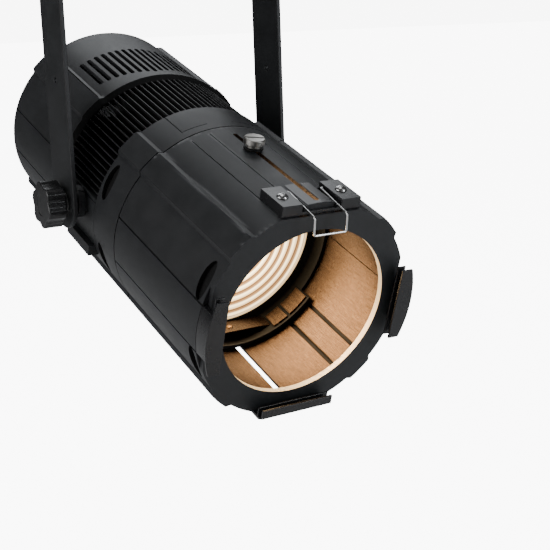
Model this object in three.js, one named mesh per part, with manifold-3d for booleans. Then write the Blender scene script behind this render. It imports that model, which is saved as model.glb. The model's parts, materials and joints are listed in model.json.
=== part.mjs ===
// Ellipsoidal stage spotlight on a hanging yoke. Units are millimetres, +Z is up.
// The origin is the hanging hole on the yoke's top face. The barrel points towards -Y and tips down.
import * as THREE from 'three';
import { mergeVertices } from 'three/addons/utils/BufferGeometryUtils.js';
import Module from 'manifold-3d';

const wasm = await Module();
wasm.setup();

// ---------------------------------------------------------------- driving dimensions
const TILT = 19.2;                 // degrees that the barrel points below level
const AXIS_DROP = 240;             // tilt axis below the yoke's top face
const AXIS_Y = 231.3;              // tilt axis behind the barrel's mouth
const GAP = 0.3;                   // clearance between neighbouring pieces

const WALL_R = 95.5;               // barrel outside, between the raised bands
const BAND_START = 38.6;           // degrees from level where a raised band starts
const BAND_END = 51.4;
const BAND_HEIGHT = 3.5;
const FACE_FLAT = 88;              // flats that cut the face plate's outline
const FACE_THICKNESS = 5;
const MOUTH_R = 75;
const BORE_R = 90;
const TUBE_END = 156;
const COLLAR_END = 199.3;
const HEATSINK_END = 271;
const HOUSING_START = 272.3;
const HOUSING_END = 400;
const REAR_END = 436;
const REAR_SCALE = 0.8;            // the rear cap's outline shrinks to this
const SHELL = 3;                   // wall of the collar, cradle, housing and cap

const ARM_X = 110.4;               // outer face of each yoke arm
const YOKE_THICKNESS = 4;
const YOKE_HALF_WIDTH = 23;
const YOKE_BEND = 18;
const HANGING_HOLE_R = 6.5;
const ARM_HOLE_R = 2.5;
const ARM_HOLE_RISE = 108;         // small arm hole above the tilt axis
const STUD_R = 4.9;
const STUD_HOLE_R = 5.3;
const BOSS_R = 14.5;
const BOSS_X = 102;
const KNOB_END_X = 132.4;

const CARRIAGE_Y = 87;             // front edge of the lens carriage's lower skirt
const CARRIAGE_RING_Y = 103;       // front edge of its full ring
const SKIRT_TOP = -50;
const CARRIAGE_R = 87.7;
const LENS_R = 77.3;
const LENS_Y = 116.3;
const FOCUS_Y = 108;               // focus knob behind the mouth
const CLIP_X = 14.8;               // half the wire clip's width
const CLIP_PIVOT_Y = 28;
const CLIP_PIVOT_Z = 95.6;
const WIRE_R = 1;
const SLOT = { half: 2, start: 10, end: 140 };   // slot in the tube's top for the focus knob
const LOWER_SLOT = { left: 0.5, right: 6.5, start: 20, end: 140 };   // open slot along the tube's underside

const FIN_COUNT = 104;
const FIN_THICKNESS = 1.4;
const FIN_R = 94.5;
const FIN_ROOT_R = 70;
const CRADLE_TOP = 15;
const CRADLE_BORE = 88;

// ---------------------------------------------------------------- finishes
const POWDER_COAT = { color: 0x1c1c1e, roughness: 0.55, metalness: 0.3 };
const BLACK_METAL = { color: 0x111112, roughness: 0.45, metalness: 0.6 };
const BLACK_PLASTIC = { color: 0x161617, roughness: 0.6, metalness: 0 };
const NICKEL = { color: 0xb9b6ae, roughness: 0.28, metalness: 1 };
const STAINLESS = { color: 0xc4c6c8, roughness: 0.25, metalness: 1 };
const BARE_METAL = { color: 0x9a9b9d, roughness: 0.4, metalness: 0.9 };
const GLASS = { color: 0xf6e8c8, roughness: 0.05, metalness: 0 };
const WARM_LED = { color: 0xffdc9a, roughness: 0.4, metalness: 0 };
const BOARD = { color: 0x1f5a35, roughness: 0.5, metalness: 0.1 };
const SCREEN = { color: 0x10181c, roughness: 0.12, metalness: 0 };

// ---------------------------------------------------------------- scene graph
const fixture = new THREE.Group();
const lamp = new THREE.Group();
lamp.position.z = -AXIS_DROP;
lamp.rotation.x = THREE.MathUtils.degToRad(TILT);
fixture.add(lamp);
// Inside the barrel group, y is the distance behind the mouth and z is the barrel's own up.
const barrel = new THREE.Group();
barrel.position.y = -AXIS_Y;
lamp.add(barrel);

function place(group, name, geometry, finish) {
  const mesh = new THREE.Mesh(geometry, new THREE.MeshStandardMaterial(finish));
  mesh.name = name;
  group.add(mesh);
  return mesh;
}

// ---------------------------------------------------------------- solids
function solid(geometry) {
  const bare = geometry.clone();
  bare.deleteAttribute('normal');
  bare.deleteAttribute('uv');
  const merged = mergeVertices(bare, 1e-4);
  return new wasm.Manifold(new wasm.Mesh({
    numProp: 3,
    vertProperties: merged.attributes.position.array,
    triVerts: new Uint32Array(merged.index.array),
  }));
}

function surface(manifold) {
  const mesh = manifold.getMesh();
  const geometry = new THREE.BufferGeometry();
  geometry.setAttribute('position', new THREE.BufferAttribute(mesh.vertProperties, mesh.numProp));
  geometry.setIndex(new THREE.BufferAttribute(mesh.triVerts, 1));
  geometry.computeVertexNormals();
  return geometry;
}

function join(first, ...others) {
  return others.reduce((sum, geometry) => sum.add(solid(geometry)), solid(first));
}

function cut(body, ...tools) {
  return tools.reduce((rest, geometry) => rest.subtract(solid(geometry)), body);
}

// ---------------------------------------------------------------- shapes
function polar(radius, degrees) {
  const angle = THREE.MathUtils.degToRad(degrees);
  return new THREE.Vector2(radius * Math.cos(angle), radius * Math.sin(angle));
}

// The barrel's outline: a circle with a raised band on each diagonal.
function barrelOutline(radius, bandHeight = BAND_HEIGHT) {
  const flankSteps = 6;
  const points = [];
  for (let quarter = 0; quarter < 360; quarter += 90) {
    for (let step = 0; step <= flankSteps; step += 1) {
      points.push(polar(radius, quarter + BAND_START * step / flankSteps));
    }
    for (let step = 0; step <= 2; step += 1) {
      points.push(polar(radius + bandHeight, quarter + BAND_START + (BAND_END - BAND_START) * step / 2));
    }
    for (let step = 0; step < flankSteps; step += 1) {
      points.push(polar(radius, quarter + BAND_END + (90 - BAND_END) * step / flankSteps));
    }
  }
  return new THREE.Shape(points);
}

function disc(radius, centreX = 0, centreY = 0) {
  const shape = new THREE.Shape();
  shape.absarc(centreX, centreY, radius, 0, Math.PI * 2, false);
  return shape;
}

function ring(outer, inner) {
  const shape = disc(outer);
  shape.holes.push(disc(inner));
  return shape;
}

function rectangle(left, bottom, right, top) {
  return new THREE.Shape([
    new THREE.Vector2(left, bottom),
    new THREE.Vector2(right, bottom),
    new THREE.Vector2(right, top),
    new THREE.Vector2(left, top),
  ]);
}

function polygon(corners) {
  return new THREE.Shape(corners.map(([x, y]) => new THREE.Vector2(x, y)));
}

// ---------------------------------------------------------------- extrusions and turned forms
function extrude(shape, depth, curveSegments = 8) {
  return new THREE.ExtrudeGeometry(shape, { depth, curveSegments, bevelEnabled: false });
}

// The shape's x and y become X and Z, and it runs from y = start to y = end.
function alongY(shape, start, end, curveSegments) {
  const geometry = extrude(shape, end - start, curveSegments);
  geometry.rotateX(Math.PI / 2);
  geometry.translate(0, end, 0);
  return geometry;
}

// The shape's x and y become Y and Z, and it runs from x = start to x = end.
function alongX(shape, start, end, curveSegments) {
  const geometry = extrude(shape, end - start, curveSegments);
  const basis = new THREE.Matrix4().makeBasis(
    new THREE.Vector3(0, 1, 0),
    new THREE.Vector3(0, 0, 1),
    new THREE.Vector3(1, 0, 0),
  );
  geometry.applyMatrix4(basis);
  geometry.translate(start, 0, 0);
  return geometry;
}

function alongZ(shape, start, end, curveSegments) {
  const geometry = extrude(shape, end - start, curveSegments);
  geometry.translate(0, 0, start);
  return geometry;
}

// A turned form about the barrel's axis. The profile is a list of [radius, y] pairs.
function turned(profile, segments = 24) {
  const points = profile.map(([radius, y]) => new THREE.Vector2(radius, y));
  return new THREE.LatheGeometry(points, segments);
}

function closedProfile(...corners) {
  return [...corners, corners[0]];
}

function box(xMin, xMax, yMin, yMax, zMin, zMax) {
  const geometry = new THREE.BoxGeometry(xMax - xMin, yMax - yMin, zMax - zMin);
  geometry.translate((xMin + xMax) / 2, (yMin + yMax) / 2, (zMin + zMax) / 2);
  return geometry;
}

// A tapered prism: the outline shrinks evenly from one scale to the other.
function tapered(shape, start, end, startScale, endScale) {
  const geometry = alongY(shape, start, end);
  const position = geometry.attributes.position;
  for (let index = 0; index < position.count; index += 1) {
    const share = (position.getY(index) - start) / (end - start);
    const scale = startScale + (endScale - startScale) * share;
    position.setX(index, position.getX(index) * scale);
    position.setZ(index, position.getZ(index) * scale);
  }
  return geometry;
}

// ---------------------------------------------------------------- yoke
function yoke() {
  const half = ARM_X;
  const inner = half - YOKE_THICKNESS;
  const foot = -AXIS_DROP - YOKE_HALF_WIDTH;
  const bar = new THREE.Shape();
  bar.moveTo(half, foot);
  bar.lineTo(half, -YOKE_BEND);
  bar.absarc(half - YOKE_BEND, -YOKE_BEND, YOKE_BEND, 0, Math.PI / 2, false);
  bar.absarc(-half + YOKE_BEND, -YOKE_BEND, YOKE_BEND, Math.PI / 2, Math.PI, false);
  bar.lineTo(-half, foot);
  bar.lineTo(-inner, foot);
  const innerBend = YOKE_BEND - YOKE_THICKNESS;
  bar.absarc(-inner + innerBend, -YOKE_BEND, innerBend, Math.PI, Math.PI / 2, true);
  bar.absarc(inner - innerBend, -YOKE_BEND, innerBend, Math.PI / 2, 0, true);
  bar.lineTo(inner, foot);

  const armOutline = new THREE.Shape();
  armOutline.moveTo(YOKE_HALF_WIDTH, 1);
  armOutline.lineTo(-YOKE_HALF_WIDTH, 1);
  armOutline.lineTo(-YOKE_HALF_WIDTH, -AXIS_DROP);
  armOutline.absarc(0, -AXIS_DROP, YOKE_HALF_WIDTH, Math.PI, Math.PI * 2, false);
  armOutline.lineTo(YOKE_HALF_WIDTH, 1);

  const rounded = solid(alongY(bar, -YOKE_HALF_WIDTH - 1, YOKE_HALF_WIDTH + 1, 8))
    .intersect(solid(alongX(armOutline, -half - 1, half + 1, 12)));
  return surface(cut(
    rounded,
    alongX(disc(STUD_HOLE_R, 0, -AXIS_DROP), -half - 2, half + 2),
    alongX(disc(ARM_HOLE_R, 0, -AXIS_DROP + ARM_HOLE_RISE), -half - 2, half + 2, 6),
    alongZ(disc(HANGING_HOLE_R), -YOKE_THICKNESS - 2, 2),
  ));
}

place(fixture, 'yoke', yoke(), POWDER_COAT);

// ---------------------------------------------------------------- tilt hardware
// Each piece is turned about the X axis and mirrored by the sign of its side.
function alongTiltAxis(shape, side, near, far, segments = 8) {
  const start = Math.min(side * near, side * far);
  return alongX(shape, start, start + Math.abs(far - near), segments);
}

function knobOutline(radius, lobes, depth) {
  const points = [];
  const steps = lobes * 6;
  for (let step = 0; step < steps; step += 1) {
    const angle = 360 * step / steps;
    const wave = depth * Math.cos(THREE.MathUtils.degToRad(angle * lobes)) / 2;
    points.push(polar(radius - depth / 2 + wave, angle));
  }
  return new THREE.Shape(points);
}

// Outwards from the boss: friction disc, yoke arm, washer, knob. The stud runs through them all.
const STUD = { near: 92.5, far: 126.5 };
const FRICTION = { near: BOSS_X + GAP, far: ARM_X - YOKE_THICKNESS - GAP, radius: 14.5 };
const WASHER = { near: ARM_X + GAP, far: ARM_X + GAP + 2, radius: 12.5 };
const KNOB = { flange: WASHER.far + GAP, grip: 115, flangeR: 15, gripR: 21.2, lobes: 6, lobeDepth: 3.4 };

function tiltKnob(side) {
  const outline = knobOutline(KNOB.gripR, KNOB.lobes, KNOB.lobeDepth);
  const grip = alongTiltAxis(outline, side, KNOB.grip, KNOB_END_X);
  const flange = alongTiltAxis(disc(KNOB.flangeR), side, KNOB.flange, KNOB.grip);
  const studHole = alongTiltAxis(disc(STUD_HOLE_R), side, KNOB.flange - 1, STUD.far + 0.5);
  return surface(cut(join(grip, flange), studHole));
}

for (const [label, side] of [['left', -1], ['right', 1]]) {
  const frictionShape = ring(FRICTION.radius, STUD_HOLE_R);
  const washerShape = ring(WASHER.radius, STUD_HOLE_R);
  const friction = alongTiltAxis(frictionShape, side, FRICTION.near, FRICTION.far);
  place(lamp, `tilt_stud_${label}`, alongTiltAxis(disc(STUD_R), side, STUD.near, STUD.far), STAINLESS);
  place(lamp, `friction_disc_${label}`, friction, BLACK_PLASTIC);
  place(lamp, `tilt_washer_${label}`, alongTiltAxis(washerShape, side, WASHER.near, WASHER.far), STAINLESS);
  place(lamp, `tilt_knob_${label}`, tiltKnob(side), BLACK_PLASTIC);
}

// ---------------------------------------------------------------- lens tube
const POCKET_ANGLES = [23, 157, 203, 337];
const POCKET_HALF_LENGTH = 17;
const POCKET_HALF_WIDTH = 6.5;
const POCKET_FLOOR = 91.5;
const TUBE_POCKET_Y = 14;
const COLLAR_POCKET_Y = 189;
const CLEAR = 110;                 // beyond the outside of any barrel piece

// An oval pocket, square to the surface at the given angle round the barrel.
function ovalPocket(degrees, y) {
  const shape = new THREE.Shape();
  shape.absellipse(0, 0, POCKET_HALF_LENGTH, POCKET_HALF_WIDTH, 0, Math.PI * 2, false);
  const geometry = alongZ(shape, POCKET_FLOOR, CLEAR, 10);
  geometry.rotateY(THREE.MathUtils.degToRad(90 - degrees));
  geometry.translate(0, y, 0);
  return geometry;
}

function turnedHole(radius, start, end) {
  return turned([[0, start], [radius, start], [radius, end], [0, end]], 48);
}

function lensTube() {
  const slot = box(-SLOT.half, SLOT.half, SLOT.start, SLOT.end, BORE_R - 10, CLEAR);
  const { left, right, start, end } = LOWER_SLOT;
  const lowerSlot = box(left, right, start, end, -CLEAR, -BORE_R + 10);
  const channelHalf = 1.8;
  const channelFloor = 91.3;
  const channelEnd = CLIP_PIVOT_Y + 3;
  const wireChannels = [-CLIP_X, CLIP_X].map((x) => (
    box(x - channelHalf, x + channelHalf, -1, channelEnd, channelFloor, CLEAR)
  ));
  const pockets = POCKET_ANGLES.map((angle) => ovalPocket(angle, TUBE_POCKET_Y));
  const flats = [0, 90, 180, 270].map((angle) => {
    const slab = box(FACE_FLAT, CLEAR, -1, FACE_THICKNESS, -60, 60);
    slab.rotateY(THREE.MathUtils.degToRad(angle));
    return slab;
  });
  const bore = turnedHole(BORE_R, FACE_THICKNESS, TUBE_END + 1);
  const mouth = turnedHole(MOUTH_R, -1, FACE_THICKNESS + 1);
  return surface(cut(
    solid(alongY(barrelOutline(WALL_R), 0, TUBE_END)),
    bore,
    mouth,
    slot,
    lowerSlot,
    ...wireChannels,
    ...pockets,
    ...flats,
  ));
}

place(barrel, 'lens_tube', lensTube(), POWDER_COAT);

// ---------------------------------------------------------------- frame guides
const GUIDE_FRONT = -14;
const LIP_BACK = -12;
const RIB = { front: -7.2, back: -5.8 };
const GUIDE_BACK = 4.6;
const GUIDE_WALL = 3;
const SIDE_GUIDE_HALF = 32.5;
const SIDE_WALL_HALF = 21;
const BOTTOM_GUIDE_HALF = 34;

// A side guide: a block on the face's flat that carries the barrel's flank forward,
// a middle rib and a front lip.
function sideGuide() {
  const reach = 81.5;
  const seat = FACE_FLAT + GAP;
  const half = SIDE_GUIDE_HALF;
  const block = box(seat, CLEAR, GUIDE_FRONT + 1, GUIDE_BACK, -SIDE_WALL_HALF, SIDE_WALL_HALF);
  const rib = box(reach, seat + 1, RIB.front, RIB.back, -half, half);
  const lip = box(reach, CLEAR, GUIDE_FRONT, LIP_BACK, -half, half);
  const flank = solid(alongY(disc(WALL_R), GUIDE_FRONT - 6, GUIDE_BACK + 6, 24));
  const lipRound = solid(alongY(disc(WALL_R + 1.5), GUIDE_FRONT - 6, LIP_BACK, 24));
  return surface(join(block, rib).intersect(flank).add(solid(lip).intersect(lipRound)));
}

function bottomGuide() {
  const lipTop = -79.5;
  const ribTop = lipTop - 1;
  const seat = -FACE_FLAT - GAP;
  const under = seat - GUIDE_WALL;
  const profile = polygon([
    [GUIDE_FRONT, lipTop],
    [LIP_BACK, lipTop],
    [LIP_BACK, seat],
    [RIB.front, seat],
    [RIB.front, ribTop],
    [RIB.back, ribTop],
    [RIB.back, seat],
    [GUIDE_BACK, seat],
    [GUIDE_BACK, under],
    [GUIDE_FRONT + 6, under],
    [GUIDE_FRONT, seat + 0.8],
  ]);
  return alongX(profile, -BOTTOM_GUIDE_HALF, BOTTOM_GUIDE_HALF);
}

const leftGuide = sideGuide();
leftGuide.rotateY(Math.PI);
place(barrel, 'guide_right', sideGuide(), POWDER_COAT);
place(barrel, 'guide_left', leftGuide, POWDER_COAT);
place(barrel, 'guide_bottom', bottomGuide(), POWDER_COAT);

// ---------------------------------------------------------------- wire clip and its bracket
const BRACKET_HALF = 36;
const BRACKET_INNER = 18;
const BRACKET_TOP = 97.8;
const BRACKET_FRONT = 2.2;
const BRACKET_BACK = 35;
const BRIDGE_BACK = 4.7;
const PIVOT_HOLE_R = 1.4;
const CLIP_SCREW_HOLE_R = 1.9;
const CLIP_SCREW_X = 27;
const CLIP_SCREW_Y = 18;

function clipPad(side) {
  const seat = WALL_R + 0.4;
  const points = [];
  for (let step = 0; step <= 4; step += 1) {
    const x = BRACKET_INNER + (BRACKET_HALF - BRACKET_INNER) * step / 4;
    points.push([side * x, Math.sqrt(seat * seat - x * x)]);
  }
  points.push([side * BRACKET_HALF, BRACKET_TOP - 1.2]);
  points.push([side * (BRACKET_HALF - 1.2), BRACKET_TOP]);
  points.push([side * BRACKET_INNER, BRACKET_TOP]);
  if (side < 0) {
    points.reverse();
  }
  return alongY(polygon(points), BRACKET_FRONT, BRACKET_BACK);
}

function clipBracket() {
  const bridgeTop = 91.2;
  const bridge = box(-BRACKET_HALF, BRACKET_HALF, BRACKET_FRONT, BRIDGE_BACK, FACE_FLAT + 0.4, bridgeTop);
  const frontWalls = [-1, 1].map((side) => {
    const near = Math.min(side * BRACKET_INNER, side * BRACKET_HALF);
    const far = near + BRACKET_HALF - BRACKET_INNER;
    return box(near, far, BRACKET_FRONT, BRIDGE_BACK, bridgeTop - 1.2, BRACKET_TOP - 1);
  });
  const pivot = disc(PIVOT_HOLE_R, CLIP_PIVOT_Y, CLIP_PIVOT_Z);
  const pivotDepth = 6;
  const screwHoles = [-CLIP_SCREW_X, CLIP_SCREW_X].map((x) => (
    alongZ(disc(CLIP_SCREW_HOLE_R, x, CLIP_SCREW_Y), FACE_FLAT, CLEAR, 6)
  ));
  return surface(cut(
    join(bridge, clipPad(1), clipPad(-1), ...frontWalls),
    alongX(pivot, BRACKET_INNER - 1, BRACKET_INNER - 1 + pivotDepth, 5),
    alongX(pivot, -BRACKET_INNER + 1 - pivotDepth, -BRACKET_INNER + 1, 5),
    ...screwHoles,
  ));
}

function clipScrew(x) {
  const head = turned([[0, 0.3], [4, 0.3], [3.2, 2], [0, 2.7]], 12);
  const shank = turned([[0, -2], [1.6, -2], [1.6, 0.5], [0, 0.5]], 8);
  const screw = surface(join(head, shank));
  screw.rotateX(Math.PI / 2);
  screw.translate(x, CLIP_SCREW_Y, BRACKET_TOP);
  return screw;
}

// A path through the points with each corner rounded off.
function roundedPath(points, radius) {
  const path = new THREE.CurvePath();
  let from = points[0];
  for (let index = 1; index < points.length - 1; index += 1) {
    const corner = points[index];
    const before = corner.clone().add(points[index - 1].clone().sub(corner).setLength(radius));
    const after = corner.clone().add(points[index + 1].clone().sub(corner).setLength(radius));
    path.add(new THREE.LineCurve3(from, before));
    path.add(new THREE.QuadraticBezierCurve3(before, corner, after));
    from = after;
  }
  path.add(new THREE.LineCurve3(from, points[points.length - 1]));
  return path;
}

function frameClip() {
  const rightLeg = [
    [21.5, CLIP_PIVOT_Y, CLIP_PIVOT_Z],
    [CLIP_X, CLIP_PIVOT_Y, CLIP_PIVOT_Z],
    [CLIP_X, -10.8, 92.3],
    [CLIP_X, -13.5, 78.5],
  ];
  const leftLeg = rightLeg.map(([x, y, z]) => [-x, y, z]).reverse();
  const points = [...rightLeg, ...leftLeg].map(([x, y, z]) => new THREE.Vector3(x, y, z));
  const section = new THREE.Shape(Array.from({ length: 6 }, (_, side) => polar(WIRE_R, side * 60)));
  return new THREE.ExtrudeGeometry(section, { steps: 44, extrudePath: roundedPath(points, 1.9) });
}

place(barrel, 'clip_bracket', clipBracket(), BLACK_METAL);
place(barrel, 'clip_screw_left', clipScrew(-CLIP_SCREW_X), NICKEL);
place(barrel, 'clip_screw_right', clipScrew(CLIP_SCREW_X), NICKEL);
place(barrel, 'frame_clip', frameClip(), STAINLESS);

// ---------------------------------------------------------------- sliding lens carriage
function lensCarriage() {
  const body = turned(closedProfile(
    [CARRIAGE_R, CARRIAGE_Y],
    [CARRIAGE_R, 130],
    [LENS_R + GAP, 130],
    [LENS_R + GAP, LENS_Y - GAP],
    [LENS_R - 2.1, LENS_Y - GAP],
    [CARRIAGE_R - 1.5, CARRIAGE_Y],
  ), 40);
  const upperFront = box(-CLEAR, CLEAR, CARRIAGE_Y - 1, CARRIAGE_RING_Y, SKIRT_TOP, CLEAR);
  const stemHole = alongZ(disc(2, 0, FOCUS_Y), LENS_R, CLEAR, 6);
  return surface(cut(solid(body), upperFront, stemHole));
}

// Flat at the back and bulging towards the mouth. The edge ring runs from y to y + edge.
function bulgingLens({ y, edge, outerRadius, rim, bulge, segments }) {
  const profile = [[0, y + edge], [outerRadius, y + edge], [outerRadius, y]];
  if (rim < outerRadius) {
    profile.push([rim, y]);
  }
  const steps = 4;
  for (let step = 1; step <= steps; step += 1) {
    const radius = rim * (1 - step / steps);
    profile.push([radius, y - bulge * (1 - (radius / rim) ** 2)]);
  }
  return turned(profile.reverse(), segments);
}

function focusKnob() {
  const profile = [
    [0, 83], [1.7, 83], [1.7, 96], [8, 96], [8, 97.2], [6.6, 97.2], [6.6, 100.4],
    [8.2, 100.4], [9, 101.2], [9, 105], [8.2, 105.8], [0, 105.8],
  ];
  const knob = turned(profile, 20);
  knob.rotateX(Math.PI / 2);
  knob.translate(0, FOCUS_Y, 0);
  const slot = box(-1, 1, FOCUS_Y - 12, FOCUS_Y + 12, 104.4, 108);
  return surface(cut(solid(knob), slot));
}

const LENS_EDGE = 5;
const RETAINER_Y = LENS_Y + LENS_EDGE + GAP;
place(barrel, 'lens_carriage', lensCarriage(), BLACK_METAL);
place(barrel, 'front_lens', bulgingLens({
  y: LENS_Y,
  edge: LENS_EDGE,
  outerRadius: LENS_R,
  rim: 74,
  bulge: 9,
  segments: 32,
}), GLASS);
place(barrel, 'lens_retainer', alongY(ring(LENS_R, 72), RETAINER_Y, RETAINER_Y + 3, 12), BLACK_METAL);
place(barrel, 'focus_knob', focusKnob(), NICKEL);

// ---------------------------------------------------------------- collar and light engine
function collar() {
  return surface(cut(
    solid(alongY(barrelOutline(WALL_R), TUBE_END + GAP, COLLAR_END)),
    alongY(disc(BORE_R), TUBE_END - 1, COLLAR_END + 1, 24),
    ...POCKET_ANGLES.map((angle) => ovalPocket(angle, COLLAR_POCKET_Y)),
  ));
}

// The light engine's pieces sit one behind the other, from the gate back to the collar's end.
const GATE = { y: 157, thickness: 2.5, apertureR: 36 };
const CONDENSER_R = 42;
const CONDENSER_BACK = 170;
const RING_OUTER_R = 48;
const RING_FRONT = GATE.y + GATE.thickness + GAP;
const RING_BACK = CONDENSER_BACK + 2;
const LED_BOARD = { front: 196.8, back: 199.2, radius: 36 };
const EMITTER_R = 13;
const EMITTER_BACK = LED_BOARD.front - GAP;

function condenserRing() {
  const seatR = CONDENSER_R + GAP;
  return turned(closedProfile(
    [RING_OUTER_R, RING_FRONT],
    [RING_OUTER_R, RING_BACK],
    [CONDENSER_R - 3, RING_BACK],
    [CONDENSER_R - 3, CONDENSER_BACK + GAP],
    [seatR, CONDENSER_BACK + GAP],
    [seatR, RING_FRONT],
  ), 24);
}

function reflector() {
  const front = RING_BACK + GAP;
  const back = EMITTER_BACK - 2;
  const wall = 2;
  const frontR = 39;
  const backR = 17;
  return turned(closedProfile(
    [frontR - wall, front],
    [frontR, front],
    [backR, back],
    [backR - wall, back],
  ), 20);
}

function ledEmitter() {
  const dome = [[0, EMITTER_BACK - 2.5], [9, EMITTER_BACK - 1.9], [EMITTER_R, EMITTER_BACK - 0.9]];
  return turned([...dome, [EMITTER_R, EMITTER_BACK], [0, EMITTER_BACK]], 16);
}

const gateShape = ring(BORE_R - 1, GATE.apertureR);
place(barrel, 'collar', collar(), POWDER_COAT);
place(barrel, 'gate_plate', alongY(gateShape, GATE.y, GATE.y + GATE.thickness, 12), BLACK_METAL);
place(barrel, 'condenser_lens', bulgingLens({
  y: CONDENSER_BACK - 2,
  edge: 2,
  outerRadius: CONDENSER_R,
  rim: CONDENSER_R,
  bulge: 7,
  segments: 24,
}), GLASS);
place(barrel, 'condenser_ring', condenserRing(), BLACK_METAL);
place(barrel, 'reflector', reflector(), BARE_METAL);
place(barrel, 'led_board', alongY(disc(LED_BOARD.radius), LED_BOARD.front, LED_BOARD.back, 10), BOARD);
place(barrel, 'led_emitter', ledEmitter(), WARM_LED);

// ---------------------------------------------------------------- heatsink and cradle
// Fins inside the cradle are shorter than the open ones above it.
function heatsink() {
  const points = [];
  const pitch = 360 / FIN_COUNT;
  for (let fin = 0; fin < FIN_COUNT; fin += 1) {
    const centre = fin * pitch + pitch / 2;
    const tipZ = FIN_R * Math.sin(THREE.MathUtils.degToRad(centre));
    const tip = tipZ > BOSS_R + 2 ? FIN_R : CRADLE_BORE - 2;
    const tipHalf = THREE.MathUtils.radToDeg(FIN_THICKNESS / 2 / tip);
    const rootHalf = THREE.MathUtils.radToDeg(FIN_THICKNESS / 2 / FIN_ROOT_R);
    points.push(polar(FIN_ROOT_R, centre - rootHalf));
    points.push(polar(tip, centre - tipHalf));
    points.push(polar(tip, centre + tipHalf));
    points.push(polar(FIN_ROOT_R, centre + rootHalf));
  }
  return alongY(new THREE.Shape(points), COLLAR_END + GAP, HEATSINK_END);
}

function cradle() {
  const start = COLLAR_END + GAP;
  const bossShape = disc(BOSS_R, AXIS_Y, 0);
  const bosses = [1, -1].map((side) => alongTiltAxis(bossShape, side, CRADLE_BORE + 1, BOSS_X, 16));
  const rail = { inner: 84, outer: 96, front: 204, back: 253, bottom: -42, top: -32 };
  const rails = [1, -1].map((side) => {
    const near = Math.min(side * rail.inner, side * rail.outer);
    return box(near, near + rail.outer - rail.inner, rail.front, rail.back, rail.bottom, rail.top);
  });
  const inside = alongY(disc(CRADLE_BORE), start - 1, HEATSINK_END + 1, 24);
  const above = box(-CLEAR, CLEAR, start - 1, HEATSINK_END + 1, CRADLE_TOP, CLEAR);
  const shell = cut(solid(alongY(barrelOutline(WALL_R), start, HEATSINK_END)), above);
  const bossTops = bosses.reduce((sum, boss) => sum.add(solid(boss)), shell);
  const railed = rails.reduce((sum, rail) => sum.add(solid(rail)), bossTops);
  return surface(cut(
    railed,
    inside,
    alongX(disc(STUD_HOLE_R, AXIS_Y, 0), -CLEAR, -CRADLE_BORE + 8),
    alongX(disc(STUD_HOLE_R, AXIS_Y, 0), CRADLE_BORE - 8, CLEAR),
  ));
}

place(barrel, 'heatsink', heatsink(), BLACK_METAL);
place(barrel, 'cradle', cradle(), POWDER_COAT);

// ---------------------------------------------------------------- rear housing
function rearHousing() {
  const ventPitch = 7;
  const ventHalf = 2;
  const vents = [];
  for (let column = -7; column <= 7; column += 1) {
    const x = column * ventPitch;
    vents.push(box(x - ventHalf, x + ventHalf, 292, 352, BORE_R - 20, CLEAR));
  }
  const lip = alongY(barrelOutline(WALL_R + 2, BAND_HEIGHT - 1.5), HOUSING_START, HOUSING_START + 5);
  return surface(cut(
    join(alongY(barrelOutline(WALL_R), HOUSING_START, HOUSING_END - GAP), lip),
    alongY(disc(WALL_R - SHELL), HOUSING_START - 1, HOUSING_END + 1, 24),
    ...vents,
  ));
}

// ---------------------------------------------------------------- rear cap and panel
const PANEL_INNER = REAR_END - SHELL;
const CONNECTOR_Z = -20;
const CONNECTOR_SPACING = 40;
const BUTTON_Z = 14;
const BUTTON_XS = [-27, -9, 9, 27];
const DISPLAY = { halfWidth: 26, bottom: 28, top: 50 };
const FUSE_Z = -50;
const PANEL_SCREW = 46;
const EYE_Z = 60;
const EYE_R = 9.5;
const EYE_HOLE_R = 6;

function rearCap() {
  const outer = tapered(barrelOutline(WALL_R), HOUSING_END, REAR_END, 1, REAR_SCALE);
  const inner = tapered(disc(WALL_R - SHELL), HOUSING_END - 1, PANEL_INNER, 1, REAR_SCALE);
  const through = (shape, segments) => alongY(shape, PANEL_INNER - 2, REAR_END + 2, segments);
  const connectors = [-1, 0, 1].map((column) => through(disc(12.5, column * CONNECTOR_SPACING, CONNECTOR_Z)));
  const buttonHoles = BUTTON_XS.map((x) => through(disc(5.3, x, BUTTON_Z), 8));
  const screwHoles = panelScrewPlaces().map(([x, z]) => through(disc(2.1, x, z), 4));
  return surface(cut(
    solid(outer),
    inner,
    through(rectangle(-DISPLAY.halfWidth, DISPLAY.bottom, DISPLAY.halfWidth, DISPLAY.top)),
    through(disc(7.3, 0, FUSE_Z), 8),
    ...connectors,
    ...buttonHoles,
    ...screwHoles,
  ));
}

function panelScrewPlaces() {
  return [
    [PANEL_SCREW, PANEL_SCREW],
    [-PANEL_SCREW, PANEL_SCREW],
    [-PANEL_SCREW, -PANEL_SCREW],
    [PANEL_SCREW, -PANEL_SCREW],
  ];
}

// A round chassis socket: a flange on the panel and a cup behind it.
function socket(x, cupRadius, cupDepth) {
  const floor = REAR_END - cupDepth;
  const cup = turned([
    [0, floor - 2],
    [12, floor - 2],
    [12, REAR_END + GAP],
    [14, REAR_END + GAP],
    [14, REAR_END + 2],
    [cupRadius, REAR_END + 2],
    [cupRadius, floor],
    [0, floor],
  ], 16);
  cup.translate(x, 0, CONNECTOR_Z);
  return cup;
}

function button(x) {
  const cap = turned([
    [0, PANEL_INNER - 1.5],
    [6.5, PANEL_INNER - 1.5],
    [6.5, PANEL_INNER - GAP],
    [5, PANEL_INNER - GAP],
    [5, REAR_END + 2.6],
    [0, REAR_END + 2.6],
  ], 12);
  cap.translate(x, 0, BUTTON_Z);
  return cap;
}

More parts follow.
